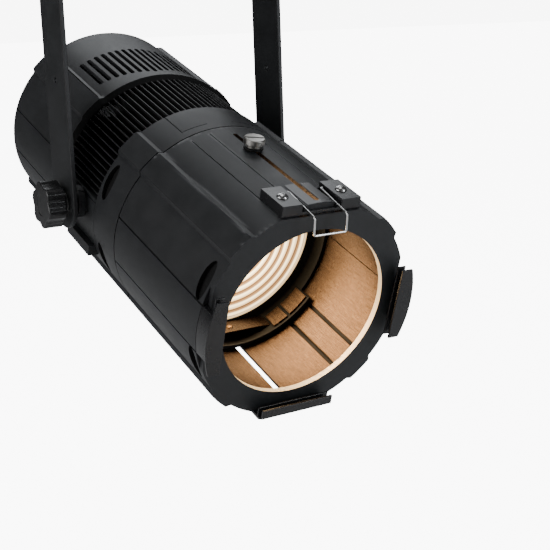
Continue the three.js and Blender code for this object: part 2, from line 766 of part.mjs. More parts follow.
function panelScrew([x, z]) {
  const screw = turned([
    [0, PANEL_INNER - 4],
    [1.6, PANEL_INNER - 4],
    [1.6, REAR_END + GAP],
    [4, REAR_END + GAP],
    [3.4, REAR_END + 2],
    [0, REAR_END + 2.8],
  ], 8);
  screw.translate(x, 0, z);
  return screw;
}

function safetyEye() {
  const start = REAR_END + GAP;
  const centre = start + EYE_R;
  const plate = new THREE.Shape();
  plate.moveTo(start, EYE_Z - EYE_R);
  plate.lineTo(centre, EYE_Z - EYE_R);
  plate.absarc(centre, EYE_Z, EYE_R, -Math.PI / 2, Math.PI / 2, false);
  plate.lineTo(start, EYE_Z + EYE_R);
  plate.holes.push(disc(EYE_HOLE_R, centre, EYE_Z));
  return alongX(plate, -2.5, 2.5);
}

place(barrel, 'rear_housing', rearHousing(), POWDER_COAT);
place(barrel, 'rear_cap', rearCap(), POWDER_COAT);
place(barrel, 'display_window', box(
  -DISPLAY.halfWidth + GAP,
  DISPLAY.halfWidth - GAP,
  REAR_END - 2.4,
  REAR_END - 0.6,
  DISPLAY.bottom + GAP,
  DISPLAY.top - GAP,
), SCREEN);
place(barrel, 'power_inlet', socket(-CONNECTOR_SPACING, 10.5, 15), BLACK_PLASTIC);
place(barrel, 'data_in_socket', socket(0, 9.5, 12), NICKEL);
place(barrel, 'data_out_socket', socket(CONNECTOR_SPACING, 9.5, 12), NICKEL);
const fuse = turned([
  [0, REAR_END - 22],
  [7, REAR_END - 22],
  [7, REAR_END + GAP],
  [8.5, REAR_END + GAP],
  [8.5, REAR_END + 3],
  [7.5, REAR_END + 4],
  [0, REAR_END + 4],
], 16);
fuse.translate(0, 0, FUSE_Z);
place(barrel, 'fuse_holder', fuse, BLACK_PLASTIC);
place(barrel, 'safety_eye', safetyEye(), STAINLESS);
BUTTON_XS.forEach((x, index) => place(barrel, `button_${index + 1}`, button(x), BLACK_PLASTIC));
panelScrewPlaces().forEach((spot, index) => {
  place(barrel, `rear_screw_${index + 1}`, panelScrew(spot), STAINLESS);
});

// ---------------------------------------------------------------- fan and electronics
const FAN_FRONT = 275;
const FAN_DEPTH = 25;
const FAN_HALF = 60;
const FAN_BORE = 57;
const HUB_R = 19;
const SPIDER_THICKNESS = 2.5;
const SPIDER_ARM_HALF = 2;

function fanFrame() {
  const frame = rectangle(-FAN_HALF, -FAN_HALF, FAN_HALF, FAN_HALF);
  frame.holes.push(disc(FAN_BORE));
  const back = FAN_FRONT + FAN_DEPTH;
  const spiderFront = back - SPIDER_THICKNESS;
  const reach = FAN_BORE + 1;
  return surface(join(
    alongY(frame, FAN_FRONT, back, 16),
    alongY(disc(HUB_R + 1), spiderFront, back, 12),
    box(-reach, reach, spiderFront, back, -SPIDER_ARM_HALF, SPIDER_ARM_HALF),
    box(-SPIDER_ARM_HALF, SPIDER_ARM_HALF, spiderFront, back, -reach, reach),
  ));
}

function fanRotor() {
  const front = FAN_FRONT + 2;
  const back = FAN_FRONT + FAN_DEPTH - SPIDER_THICKNESS - 1;
  const hub = alongY(disc(HUB_R), front, back, 12);
  const pitchAngle = THREE.MathUtils.degToRad(62);
  const blades = [];
  const count = 7;
  for (let index = 0; index < count; index += 1) {
    const blade = box(HUB_R - 2, FAN_BORE - 3, -1, 1, -10, 10);
    blade.rotateX(pitchAngle);
    blade.translate(0, (front + back) / 2, 0);
    blade.rotateY(2 * Math.PI * index / count);
    blades.push(blade);
  }
  return surface(join(hub, ...blades));
}

place(barrel, 'fan_frame', fanFrame(), BLACK_PLASTIC);
place(barrel, 'fan_rotor', fanRotor(), BLACK_PLASTIC);
const ELECTRONICS_FRONT = FAN_FRONT + FAN_DEPTH + 12;
place(barrel, 'driver_board', box(-60, 60, ELECTRONICS_FRONT, ELECTRONICS_FRONT + 80, 18, 20), BOARD);
place(barrel, 'power_supply', box(-45, 45, ELECTRONICS_FRONT, HOUSING_END, -62, -28), BARE_METAL);

export default fixture;
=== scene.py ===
import json
import math

import bmesh
import bpy
from mathutils import Matrix, Vector


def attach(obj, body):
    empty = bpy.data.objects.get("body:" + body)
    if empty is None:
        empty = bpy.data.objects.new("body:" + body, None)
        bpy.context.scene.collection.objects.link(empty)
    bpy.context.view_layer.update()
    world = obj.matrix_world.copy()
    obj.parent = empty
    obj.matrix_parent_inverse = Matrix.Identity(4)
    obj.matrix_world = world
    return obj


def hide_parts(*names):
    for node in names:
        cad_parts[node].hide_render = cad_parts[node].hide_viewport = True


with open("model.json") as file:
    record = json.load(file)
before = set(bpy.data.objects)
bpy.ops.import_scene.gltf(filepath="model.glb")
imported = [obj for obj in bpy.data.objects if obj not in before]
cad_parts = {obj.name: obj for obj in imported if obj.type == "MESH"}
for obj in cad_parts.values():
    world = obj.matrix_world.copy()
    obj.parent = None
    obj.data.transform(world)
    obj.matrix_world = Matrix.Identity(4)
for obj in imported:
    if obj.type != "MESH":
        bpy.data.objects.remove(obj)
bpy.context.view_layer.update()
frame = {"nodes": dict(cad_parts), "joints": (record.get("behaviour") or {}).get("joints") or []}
nodes = frame["nodes"]
joints = {joint["name"]: joint for joint in frame["joints"]}

# ---------- places, from the frame
MM = 0.001
AXIS_Y = 231.3  # mm from the barrel's mouth back to the tilt axis
tilt_axis = Vector(joints["tilt"]["pos_m"])
barrel_back = Vector(joints["focus"]["axis"]).normalized()
barrel_up = Vector(joints["focus_knob_turn"]["axis"]).normalized()
mouth_centre = tilt_axis - barrel_back * AXIS_Y * MM
turn = Matrix((Vector((1, 0, 0)), barrel_back, barrel_up)).transposed().to_4x4()
# Barrel coordinates are millimetres: x right, y back from the mouth, z the barrel's own up.
BARREL = Matrix.Translation(mouth_centre) @ turn @ Matrix.Scale(MM, 4)
TO_BARREL = BARREL.inverted()
# Yoke coordinates are millimetres in the row frame.
ROW = Matrix.Scale(MM, 4)

# ---------- driving sizes, in mm
WALL_R = 95.5
BAND_START = 38.6  # degrees from level to the flat top of each diagonal's band
BAND_END = 51.4
BAND_HEIGHT = 3.5
BAND_SLOPE = 1.9  # degrees that each band's sloping edge takes
FACE_FLAT = 88  # half the width across the flats of the front face
FACE_Y = 5  # back of the front face
MOUTH_R = 75
BORE_R = 90
TUBE_END = 156
COLLAR_START = 156.3
COLLAR_END = 199.3
CRADLE_START = 199.6
CRADLE_END = 271
HOUSING_START = 272.3
HOUSING_END = 399.7
REAR_END = 436
REAR_SCALE = 0.8
PANEL_INNER = REAR_END - 3
FOCUS_Y = 108
CLIP_X = 14.8  # each leg of the wire clip is this far from the middle
CLIP_PIVOT = (28, 95.6)  # y, z
CARRIAGE_Y = 87  # front edge of the carriage's lower skirt
CARRIAGE_RING_Y = 103  # front edge of its full ring
LENS_STEP = 8.4  # width of each ring of the front lens
AXIS_DROP = -tilt_axis.z / MM
ARM_X = 110.4  # outer sides of the yoke's arms
STUD_HOLE_R = 5.3
CUTTER_R = WALL_R + 6  # shallow cutters reach this far out
OUTSIDE = 110  # deep cutters reach this far out


def new_object(name, data):
    obj = bpy.data.objects.new(name, data)
    bpy.context.scene.collection.objects.link(obj)
    return obj


# ---------- camera
def make_camera():
    """Stands in front of the object and to its left, a little above the tilt axis."""
    data = bpy.data.cameras.new("camera")
    data.lens = 75.04
    data.sensor_width = 36
    camera = new_object("camera", data)
    right = Vector((0.84636, -0.53156, -0.03333))
    up = Vector((0.14351, 0.16735, 0.97540))
    back = right.cross(up).normalized()
    rotation = Matrix((right, up, back)).transposed().to_4x4()
    spot = Vector((-0.48526, -0.96094, 0.15372 + tilt_axis.z))
    camera.matrix_world = Matrix.Translation(spot) @ rotation
    bpy.context.scene.camera = camera


make_camera()


# ---------- shapes: (vertices, faces) pairs
def polar(radius, degrees):
    angle = math.radians(degrees)
    return radius * math.cos(angle), radius * math.sin(angle)


def arc(centre, radius, start, end, count):
    steps = [start + (end - start) * i / count for i in range(count + 1)]
    return [(centre[0] + x, centre[1] + y) for x, y in (polar(radius, a) for a in steps)]


def circle(radius, count=32, centre=(0, 0)):
    return arc(centre, radius, 0, 360, count)[:-1]


def capsule(half_width, start, end, count=8):
    """An outline along v with round ends, in (u, v)."""
    low = arc((0, start + half_width), half_width, 180, 360, count)
    return low + arc((0, end - half_width), half_width, 0, 180, count)


def rectangle(left, bottom, right, top):
    return [(left, bottom), (right, bottom), (right, top), (left, top)]


def prism(outline, start, end, axis):
    """An outline pushed along an axis. The outline's plane is XZ for y, YZ for x and XY for z."""
    spots = {
        "x": lambda u, v, w: (w, u, v),
        "y": lambda u, v, w: (u, w, v),
        "z": lambda u, v, w: (u, v, w),
    }[axis]
    count = len(outline)
    vertices = [spots(u, v, w) for w in (start, end) for u, v in outline]
    sides = [(i, (i + 1) % count, (i + 1) % count + count, i + count) for i in range(count)]
    return vertices, [tuple(range(count)), tuple(range(2 * count - 1, count - 1, -1)), *sides]


def rod(axis, start, end, *round_section):
    """A round bar along an axis. The section is a radius, a count of sides and a centre."""
    return prism(circle(*round_section), start, end, axis)


def box(low, high):
    return prism(rectangle(*low[:2], *high[:2]), low[2], high[2], "z")


def rings_shape(rings, closed=False):
    """Quads between rings of equal count. The ends are capped, or joined when closed."""
    count = len(rings[0])
    vertices = [point for ring in rings for point in ring]
    faces = []
    pairs = len(rings) if closed else len(rings) - 1
    for i in range(pairs):
        low, high = i * count, ((i + 1) % len(rings)) * count
        faces += [(low + j, low + (j + 1) % count, high + (j + 1) % count, high + j) for j in range(count)]
    if not closed:
        faces += [tuple(range(count)), tuple(range(len(vertices) - 1, len(vertices) - count - 1, -1))]
    return vertices, faces


def turned(profile, count=64, closed=False):
    """A profile of (radius, along) pairs turned about y. A radius of 0 becomes a tiny ring."""
    rings = []
    for radius, along in profile:
        rings.append([(x, along, z) for x, z in circle(max(radius, 0.01), count)])
    return rings_shape(rings, closed)


def tube(points, radius, sides=12):
    """A round bar along a list of points."""
    rings = []
    normal = None
    for i, point in enumerate(points):
        ahead = points[min(i + 1, len(points) - 1)] - points[max(i - 1, 0)]
        ahead.normalize()
        if normal is None:
            normal = ahead.orthogonal().normalized()
        normal = (normal - ahead * normal.dot(ahead)).normalized()
        side = ahead.cross(normal)
        rings.append([tuple(point + normal * x + side * y) for x, y in circle(radius, sides)])
    return rings_shape(rings)


def rounded_line(corners, radius, steps=6):
    """Points along straight runs with each corner rounded."""
    corners = [Vector(c) for c in corners]
    points = [corners[0]]
    for before, corner, after in zip(corners, corners[1:], corners[2:]):
        start = corner + (before - corner).normalized() * radius
        end = corner + (after - corner).normalized() * radius
        for i in range(steps + 1):
            t = i / steps
            points.append(start * (1 - t) ** 2 + corner * 2 * t * (1 - t) + end * t * t)
    return points + [corners[-1]]


def moved(shape, matrix):
    return [tuple(matrix @ Vector(v)) for v in shape[0]], shape[1]


def joined(*shapes):
    vertices, faces = [], []
    for points, polygons in shapes:
        base = len(vertices)
        vertices += points
        faces += [tuple(i + base for i in polygon) for polygon in polygons]
    return vertices, faces


def mirrored(shape):
    return [(-x, y, z) for x, y, z in shape[0]], [tuple(reversed(face)) for face in shape[1]]


def round_barrel(shape, degrees):
    """Turns a shape about the barrel's axis, from level right towards up."""
    return moved(shape, Matrix.Rotation(-math.radians(degrees), 4, "Y"))


def stood_up(shape, spot):
    """Stands a turned shape up, so that its axis is the barrel's z, and puts it at a spot."""
    return moved(moved(shape, Matrix.Rotation(math.pi / 2, 4, "X")), Matrix.Translation(spot))


# ---------- objects
WELD = 0.0002  # points closer than this are one point
BEVEL_ANGLE = math.radians(32)  # edges that turn more than this are rounded
SHARP_ANGLE = math.radians(48)  # edges that turn more than this are shaded sharp


def raw_object(name, shape):
    mesh = bpy.data.meshes.new(name)
    mesh.from_pydata(shape[0], [], shape[1])
    work = bmesh.new()
    work.from_mesh(mesh)
    bmesh.ops.remove_doubles(work, verts=work.verts, dist=WELD)
    bmesh.ops.recalc_face_normals(work, faces=work.faces)
    work.to_mesh(mesh)
    work.free()
    return new_object(name, mesh)


def apply_modifiers(obj):
    graph = bpy.context.evaluated_depsgraph_get()
    mesh = bpy.data.meshes.new_from_object(obj.evaluated_get(graph))
    obj.modifiers.clear()
    old = obj.data
    obj.data = mesh
    bpy.data.meshes.remove(old)


def combine(obj, shape, operation):
    tool = raw_object("tool", shape)
    modifier = obj.modifiers.new("combine", "BOOLEAN")
    modifier.operation = operation
    modifier.solver = "EXACT"
    modifier.use_self = True
    modifier.object = tool
    apply_modifiers(obj)
    bpy.data.meshes.remove(tool.data)


def carved(shape, *steps):
    """A shape after booleans in turn, each an (operation, tool) pair."""
    obj = raw_object("work", shape)
    for operation, tool in steps:
        combine(obj, tool, operation)
    mesh = obj.data
    result = ([tuple(v.co) for v in mesh.vertices], [tuple(p.vertices) for p in mesh.polygons])
    bpy.data.meshes.remove(mesh)
    return result


def build(
    name, shape, body, slot, material, add=(), cut=(), bevel=0.4, place=BARREL, replaces=(), segments=2
):
    """One finished piece: joins, cuts, rounds its edges, puts it in place and lets it ride."""
    obj = raw_object(name, shape)
    for extra in add:
        combine(obj, extra, "UNION")
    if cut:
        combine(obj, joined(*cut), "DIFFERENCE")
    for polygon in obj.data.polygons:
        polygon.use_smooth = True
    if bevel:
        modifier = obj.modifiers.new("bevel", "BEVEL")
        modifier.width = bevel
        modifier.segments = segments
        modifier.limit_method = "ANGLE"
        modifier.angle_limit = BEVEL_ANGLE
        modifier.miter_outer = "MITER_ARC"
        apply_modifiers(obj)
    obj.data.transform(place)
    obj.data.set_sharp_from_angle(angle=SHARP_ANGLE)
    weighted = obj.modifiers.new("normals", "WEIGHTED_NORMAL")
    weighted.keep_sharp = True
    weighted.weight = 50
    apply_modifiers(obj)
    obj.data.materials.clear()
    obj.data.materials.append(material)
    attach(obj, body)
    if replaces:
        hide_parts(*replaces)
    return obj


# ---------- materials
class Nodes:
    """A short way to write a node tree."""

    def __init__(self, name):
        self.material = bpy.data.materials.new(name)
        self.material.use_nodes = True
        self.tree = self.material.node_tree
        self.shader = self.tree.nodes["Principled BSDF"]
        self.place = self.add("ShaderNodeTexCoord").outputs["Object"]

    def add(self, kind, **values):
        """A new node. Each value goes to the input of its name, or to the node itself."""
        node = self.tree.nodes.new(kind)
        for key, value in values.items():
            socket = key.replace("_", " ")
            if socket in node.inputs:
                node.inputs[socket].default_value = value
            else:
                setattr(node, key, value)
        return node

    def link(self, source, target):
        self.tree.links.new(source, target)

    def noise(self, scale, detail=4.0, roughness=0.5, stretch=None, place=None):
        node = self.add("ShaderNodeTexNoise", Scale=scale, Detail=detail, Roughness=roughness)
        source = place or self.place
        if stretch:
            mapping = self.add("ShaderNodeMapping", Scale=stretch)
            self.link(source, mapping.inputs["Vector"])
            source = mapping.outputs["Vector"]
        self.link(source, node.inputs["Vector"])
        return node.outputs["Fac"]

    def work_out(self, kind, operation, first, second=None):
        """A Math or VectorMath node. Its second value is fixed, or comes from another node."""
        node = self.add(f"ShaderNode{kind}", operation=operation)
        self.link(first, node.inputs[0])
        if isinstance(second, bpy.types.NodeSocket):
            self.link(second, node.inputs[1])
        elif second is not None:
            node.inputs[1].default_value = second
        return node.outputs

    def from_mouth(self):
        return self.work_out("VectorMath", "SUBTRACT", self.place, mouth_centre)[0]

    def barrel_place(self):
        """The place in metres across, along and up the barrel."""
        start = self.from_mouth()
        combined = self.add("ShaderNodeCombineXYZ")
        for index, axis in enumerate((Vector((1, 0, 0)), barrel_back, barrel_up)):
            share = self.work_out("VectorMath", "DOT_PRODUCT", start, axis)["Value"]
            self.link(share, combined.inputs[index])
        return combined.outputs[0]

    def ramp(self, source, stops):
        node = self.add("ShaderNodeValToRGB")
        ramp = node.color_ramp
        while len(ramp.elements) < len(stops):
            ramp.elements.new(0.5)
        for element, (position, color) in zip(ramp.elements, stops):
            element.position = position
            element.color = (*color, 1)
        self.link(source, node.inputs["Fac"])
        return node.outputs["Color"]

    def spread(self, source, low, high, start=0.3, end=0.7):
        node = self.add("ShaderNodeMapRange", From_Min=start, From_Max=end, To_Min=low, To_Max=high)
        self.link(source, node.inputs["Value"])
        return node.outputs["Result"]

    def bump(self, source, strength, distance, before=None):
        node = self.add("ShaderNodeBump", Strength=strength, Distance=distance)
        self.link(source, node.inputs["Height"])
        if before:
            self.link(before, node.inputs["Normal"])
        self.link(node.outputs["Normal"], self.shader.inputs["Normal"])
        return node.outputs["Normal"]

    def tones(self, source, *stops):
        self.link(self.ramp(source, stops), self.shader.inputs["Base Color"])

    def two_tones(self, source, dark, light):
        self.tones(source, (0.3, dark), (0.7, light))

    def gloss(self, source, smooth, rough):
        self.link(self.spread(source, smooth, rough), self.shader.inputs["Roughness"])

    def set(self, **values):
        for key, value in values.items():
            self.shader.inputs[key.replace("_", " ")].default_value = value


def coated(name, dark, light, rough, grain, height, specular):
    """Paint, powder coat or moulded plastic: fine grain, cloudy tone and cloudy gloss."""
    n = Nodes(name)
    clouds = n.noise(38, 5, 0.6)
    n.two_tones(clouds, dark, light)
    n.gloss(clouds, *rough)
    coarse = n.bump(n.noise(grain, 3, 0.6), 0.55, height)
    n.bump(n.noise(grain * 3.1, 2, 0.5), 0.25, height * 0.6, coarse)
    n.set(Specular_IOR_Level=specular)
    return n.material


def metal(name, dark, light, rough):
    """Bare or plated metal with a cloudy finish and fine grain."""
    n = Nodes(name)
    n.two_tones(n.noise(60, 4, 0.55), dark, light)
    grain = n.noise(900, 3, 0.6)
    n.gloss(grain, *rough)
    n.bump(grain, 0.15, 0.00004)
    n.set(Metallic=1.0)
    return n.material


POWDER = coated(
    "powder_coat", (0.0155, 0.0165, 0.018), (0.0235, 0.0248, 0.027), rough=(0.44, 0.52),
    grain=1500, height=0.00007, specular=0.38,
)
SHEET = coated(
    "black_sheet", (0.010, 0.010, 0.011), (0.016, 0.016, 0.0175), rough=(0.24, 0.32),
    grain=2200, height=0.00002, specular=0.48,
)
ANODISED = coated(
    "black_anodised", (0.009, 0.009, 0.010), (0.017, 0.017, 0.018), rough=(0.46, 0.56),
    grain=2600, height=0.00001, specular=0.5,
)
MATT_BLACK = coated(
    "matt_black", (0.003, 0.003, 0.003), (0.006, 0.006, 0.006), rough=(0.5, 0.65),
    grain=1800, height=0.00003, specular=0.2,
)
PLASTIC = coated(
    "moulded_plastic", (0.009, 0.009, 0.010), (0.015, 0.015, 0.016), rough=(0.2, 0.28),
    grain=1900, height=0.00003, specular=0.6,
)
NICKEL = metal("nickel", (0.34, 0.33, 0.31), (0.44, 0.425, 0.40), (0.26, 0.34))
# A nickel screw head tinted bronze: painted warm light from the beam.
WARM_LIT_SCREW = metal("nickel_screw_painted_warm_light", (0.30, 0.17, 0.08), (0.45, 0.27, 0.14), (0.25, 0.4))
STEEL = metal("stainless", (0.60, 0.60, 0.60), (0.74, 0.74, 0.73), (0.16, 0.28))
ALUMINIUM = metal("bare_aluminium", (0.42, 0.42, 0.42), (0.56, 0.56, 0.56), (0.3, 0.45))


def bore_material():
    """The turned inside of the barrel: fine lines round the wall, on a warm bronze-brown that paints the
    beam's warm light onto the dark metal.
    """
    n = Nodes("turned_bore_painted_warm_light")
    place = n.barrel_place()
    round_lines = n.noise(420, 3, 0.6, (0.8, 16.0, 0.8), place)
    long_lines = n.noise(420, 3, 0.6, (5.0, 0.25, 5.0), place)
    n.tones(
        n.work_out("Math", "MULTIPLY", round_lines, long_lines)[0],
        (0.06, (0.020, 0.011, 0.006)), (0.25, (0.070, 0.042, 0.025)), (0.48, (0.17, 0.108, 0.067)),
    )
    n.gloss(round_lines, 0.2, 0.36)
    n.bump(round_lines, 0.6, 0.0001)
    n.set(Metallic=0.85)
    return n.material


def rim_material():
    """The machined edge of the mouth, with a warm glow painted in for the beam grazing it."""
    n = Nodes("machined_rim_painted_glow")
    lines = n.noise(900, 3, 0.6, (1.0, 5.0, 1.0))
    n.two_tones(lines, (0.62, 0.52, 0.42), (0.85, 0.76, 0.64))
    n.gloss(lines, 0.25, 0.4)
    n.set(Metallic=0.6, Emission_Color=(1.0, 0.70, 0.36, 1), Emission_Strength=1.0)
    return n.material


def lens_material():
    """Clear glass lit from behind, painted as a glow: cream light, brighter towards the middle, with narrow
    dark amber lines of painted shade at each step.
    """
    n = Nodes("lit_lens")
    cross = n.work_out("VectorMath", "CROSS_PRODUCT", n.from_mouth(), barrel_back)[0]
    radius = n.work_out("VectorMath", "LENGTH", cross)["Value"]
    waves = n.work_out("Math", "DIVIDE", radius, LENS_STEP * MM)[0]
    share = n.work_out("Math", "FRACT", waves)[0]
    tones = [
        (0.0, (0.05, 0.02, 0.006)), (0.07, (0.25, 0.12, 0.05)),
        (0.17, (1.0, 0.74, 0.40)), (0.5, (1.0, 0.82, 0.48)),
        (0.6, (0.34, 0.17, 0.07)), (0.67, (0.9, 0.68, 0.4)),
        (0.85, (0.55, 0.32, 0.14)), (1.0, (0.06, 0.025, 0.008)),
    ]
    n.link(n.ramp(share, tones), n.shader.inputs["Emission Color"])
    n.link(n.spread(radius, 9.0, 2.6, 0.02, 0.077), n.shader.inputs["Emission Strength"])
    n.gloss(n.noise(700, 2), 0.03, 0.08)
    n.set(Base_Color=(0.12, 0.09, 0.06, 1), Coat_Weight=0.3, Coat_Roughness=0.04)
    return n.material


def board_material():
    """Green board with pale specks for its small parts."""
    n = Nodes("circuit_board")
    cells = n.add("ShaderNodeTexVoronoi", Scale=260)
    n.link(n.place, cells.inputs["Vector"])
    n.tones(
        cells.outputs["Distance"],
        (0.0, (0.006, 0.03, 0.018)), (0.5, (0.005, 0.022, 0.013)), (0.95, (0.06, 0.06, 0.05)),
    )
    n.set(Roughness=0.4)
    return n.material


def screen_material():
    """Dark glass with faint smears."""
    n = Nodes("display_glass")
    smears = n.noise(45, 5, 0.6)
    n.two_tones(smears, (0.006, 0.009, 0.011), (0.012, 0.018, 0.021))
    n.gloss(smears, 0.05, 0.14)
    n.set(Coat_Weight=0.5)
    return n.material


# The bore's bronze tone is painted warm light.
BORE_WARM_LIT = bore_material()
# The rim's finish glows with painted light.
RIM_GLOW = rim_material()
LENS = lens_material()
BOARD = board_material()
SCREEN = screen_material()


# ---------- the barrel's outline
def barrel_angles():
    """Angles round the barrel, with one at every corner of the outline."""
    face_corner = math.degrees(math.acos(FACE_FLAT / WALL_R))
    eighth = [0, face_corner, BAND_START - BAND_SLOPE, BAND_START]
    quarter = eighth + [90 - angle for angle in eighth]
    marks = sorted({round(base + angle, 4) for base in range(0, 360, 90) for angle in quarter})
    angles = []
    for low, high in zip(marks, marks[1:]):
        steps = max(1, round((high - low) / ANGLE_STEP))
        angles += [low + (high - low) * i / steps for i in range(steps)]
    return angles


ANGLE_STEP = 1.6  # roughly how many degrees lie between two points of an outline
ANGLES = barrel_angles()


def barrel_radius(angle, wall=WALL_R, band=BAND_HEIGHT):
    """The outline's radius: round, with a raised band on each diagonal."""
    from_middle = abs(angle % 90 - 45)
    half = (BAND_END - BAND_START) / 2
    rise = min(1, max(0, (half + BAND_SLOPE - from_middle) / BAND_SLOPE))
    return wall + band * rise


def face_radius(angle):
    """The front face's outline: the barrel's, cut flat at the top, bottom and sides."""
    across = max(abs(math.cos(math.radians(angle))), abs(math.sin(math.radians(angle))))
    return min(barrel_radius(angle), FACE_FLAT / across)


def barrel_ring(y, radius, scale=1.0):
    """One ring of points at y. The radius is a number or a function of the angle."""
    ring = []
    for angle in ANGLES:
        reach = radius(angle) if callable(radius) else radius
        x, z = polar(reach * scale, angle)
        ring.append((x, y, z))
    return ring


def barrel_shell(*rings):
    """A closed shell through rings, each written as y, radius and, where it isn't 1, scale."""
    return rings_shape([barrel_ring(*ring) for ring in rings], closed=True)


def straight_shell(start, end, inner):
    """A length of the barrel's wall, round inside."""
    return barrel_shell((start, barrel_radius), (end, barrel_radius), (end, inner), (start, inner))


def swept(profile, start_angle, end_angle):
    """A closed outline of (radius, y) pairs carried round the barrel."""
    steps = max(2, round(abs(end_angle - start_angle) / 4))
    rings = []
    for i in range(steps + 1):
        across, up = polar(1, start_angle + (end_angle - start_angle) * i / steps)
        rings.append([(radius * across, y, radius * up) for radius, y in profile])
    return rings_shape(rings)


def sector(inner, outer, start_angle, end_angle, y0, y1):
    """A curved slab round the barrel, for shallow panels and lines."""
    return swept([(inner, y0), (outer, y0), (outer, y1), (inner, y1)], start_angle, end_angle)


def line_along(angle, y0, y1, width=0.9, depth=0.8):
    """A groove cutter that runs along the barrel at one angle."""
    half = math.degrees(width / 2 / WALL_R)
    return sector(WALL_R - depth, CUTTER_R, angle - half, angle + half, y0, y1)


def angle_at_x(x):
    return math.degrees(math.acos(x / WALL_R))


POCKET_ANGLES = (23, 157, 203, 337)
POCKET_HALF_LENGTH = 17
POCKET_HALF_WIDTH = 6.5
POCKET_REACH = 11.5  # degrees from a pocket's middle that its surface lies within
POCKET_FLOOR = 91.1
POCKET_TOP = 104
TUBE_POCKET_Y = 14
COLLAR_POCKET_Y = 189
PANEL_X = 35.5  # half width of the panel on the barrel's top
STRIP_X = 18.9  # half width of the strip beside the slot
FLANK_ANGLE = 12.7  # degrees above and below level of the flank's edges
CHANNEL_ANGLES = (36.4, 51.7)  # channels in the bore, from level or upright, in each quarter
CHANNEL_HALF = 1.9
CHANNEL_Y = (FACE_Y + 2, 150)
GUIDE_LINE_ANGLES = (3.3, 176.7)
GUIDE_LINE_HALF = 0.5
TUBE_STATIONS = (9, 32, 80, 130, 151)
LOWER_SLOT = (0.5, 6.5)  # left and right sides of the slot in the underside
WIRE_GAP = 1.8  # half width of the channel for each leg of the wire clip


def pockets_at(y):
    """Oval cutters whose long side runs round the barrel and whose short side runs along it."""
    turns = [math.tau * i / 32 for i in range(32)]
    outline = [(POCKET_HALF_WIDTH * math.sin(t), POCKET_HALF_LENGTH * math.cos(t)) for t in turns]
    shape = moved(prism(outline, POCKET_FLOOR, POCKET_TOP, "x"), Matrix.Translation((0, y, 0)))
    return [round_barrel(shape, angle) for angle in POCKET_ANGLES]


def flank_lines(y0, y1):
    """Grooves at the upper and lower edges of the two flanks and the underside."""
    angles = [base + side * FLANK_ANGLE for base in (0, 180, 270) for side in (-1, 1)]
    return [line_along(angle, y0, y1, 1.5, 1.1) for angle in angles]


# ---------- front casting
def casting(node, shape, **options):
    """One of the barrel's painted castings, in place of its CAD node."""
    return build(f"{node}_casting", shape, "lamp", "powder_coat", POWDER, replaces=[node], **options)


def bore_channels():
    """Channels along the bore, and a fine guide line a little above level on each side."""
    middles = [base + angle for base in (0, 90, 180, 270) for angle in CHANNEL_ANGLES]
    lines = [(middle, CHANNEL_HALF, 3) for middle in middles]
    lines += [(middle, GUIDE_LINE_HALF, 1.5) for middle in GUIDE_LINE_ANGLES]
    cutters = []
    for middle, half_width, depth in lines:
        half = math.degrees(half_width / BORE_R)
        cutters.append(sector(BORE_R - 3, BORE_R + depth, middle - half, middle + half, *CHANNEL_Y))
    return cutters


def make_lens_tube():
    shell = barrel_shell(
        (0, face_radius), (FACE_Y, face_radius),
        *[(y, barrel_radius) for y in (FACE_Y, *TUBE_STATIONS, TUBE_END)],
        *[(y, BORE_R) for y in (TUBE_END, *reversed(TUBE_STATIONS), FACE_Y)],
        (FACE_Y, MOUTH_R), (0, MOUTH_R),
    )
    slot = prism(capsule(2, 10, 140), 80, OUTSIDE, "z")
    left, right = LOWER_SLOT
    lower_slot = box((left, 20, -OUTSIDE), (right, 140, -80))
    relief = box((left - 9, 18, -OUTSIDE), (right + 9, 142, -92.2))
    cuts = [slot, lower_slot, relief, seam_cutter(TUBE_END - 1, TUBE_END + 1)]
    for x in (-CLIP_X, CLIP_X):
        cuts.append(box((x - WIRE_GAP, -1, 91.3), (x + WIRE_GAP, 31, OUTSIDE)))
    cuts += pockets_at(TUBE_POCKET_Y)
    cuts += [line_along(angle_at_x(side * PANEL_X), 34, 148) for side in (-1, 1)]
    cuts += [line_along(angle_at_x(side * STRIP_X), 36, 148, 0.7, 0.6) for side in (-1, 1)]
    cuts += flank_lines(-2, 160) + bore_channels()
    tube_piece = casting("lens_tube", shell, cut=cuts, bevel=0.5)
    paint_inside(tube_piece, TUBE_POCKET_Y)


def paint_inside(obj, pocket_y):
    """The bore and the slot's walls take the turned finish with its painted warm light, the mouth's edge
    the machined finish with its painted glow, and pockets, channels and the walls of cuts go matt black as
    painted shade.
    """
    for material in (BORE_WARM_LIT, RIM_GLOW, MATT_BLACK):
        obj.data.materials.append(material)
    bore, rim, dark = 1, 2, 3
    for polygon in obj.data.polygons:
        centre = TO_BARREL @ polygon.center
        radius = math.hypot(centre.x, centre.z)
        angle = math.degrees(math.atan2(centre.z, centre.x)) % 360
        near_pocket = min(abs(angle - pocket) for pocket in POCKET_ANGLES) < POCKET_REACH
        off_row = abs(centre.y - pocket_y)
        in_wall = centre.y > 9 and BORE_R + 0.4 < radius < WALL_R - 0.7
        if 0.3 < centre.y < FACE_Y + 0.3 and radius < MOUTH_R + 0.5:
            polygon.material_index = rim
        elif centre.y > 0.4 and BORE_R - 1.2 < radius < BORE_R + 0.4:
            polygon.material_index = bore
        # Walls and floors of grooves, slots and channels go matt black as painted shade; the slot's walls
        # take the bore's painted warm light.
        elif in_wall and (off_row > 7 or not near_pocket):
            on_slot = abs(centre.x) < 4 and centre.z > 0
            polygon.material_index = bore if on_slot else dark
        # Pocket floors and sides go matt black as painted shade.
        elif radius < WALL_R - 0.6 and near_pocket and off_row < POCKET_HALF_WIDTH:
            polygon.material_index = dark


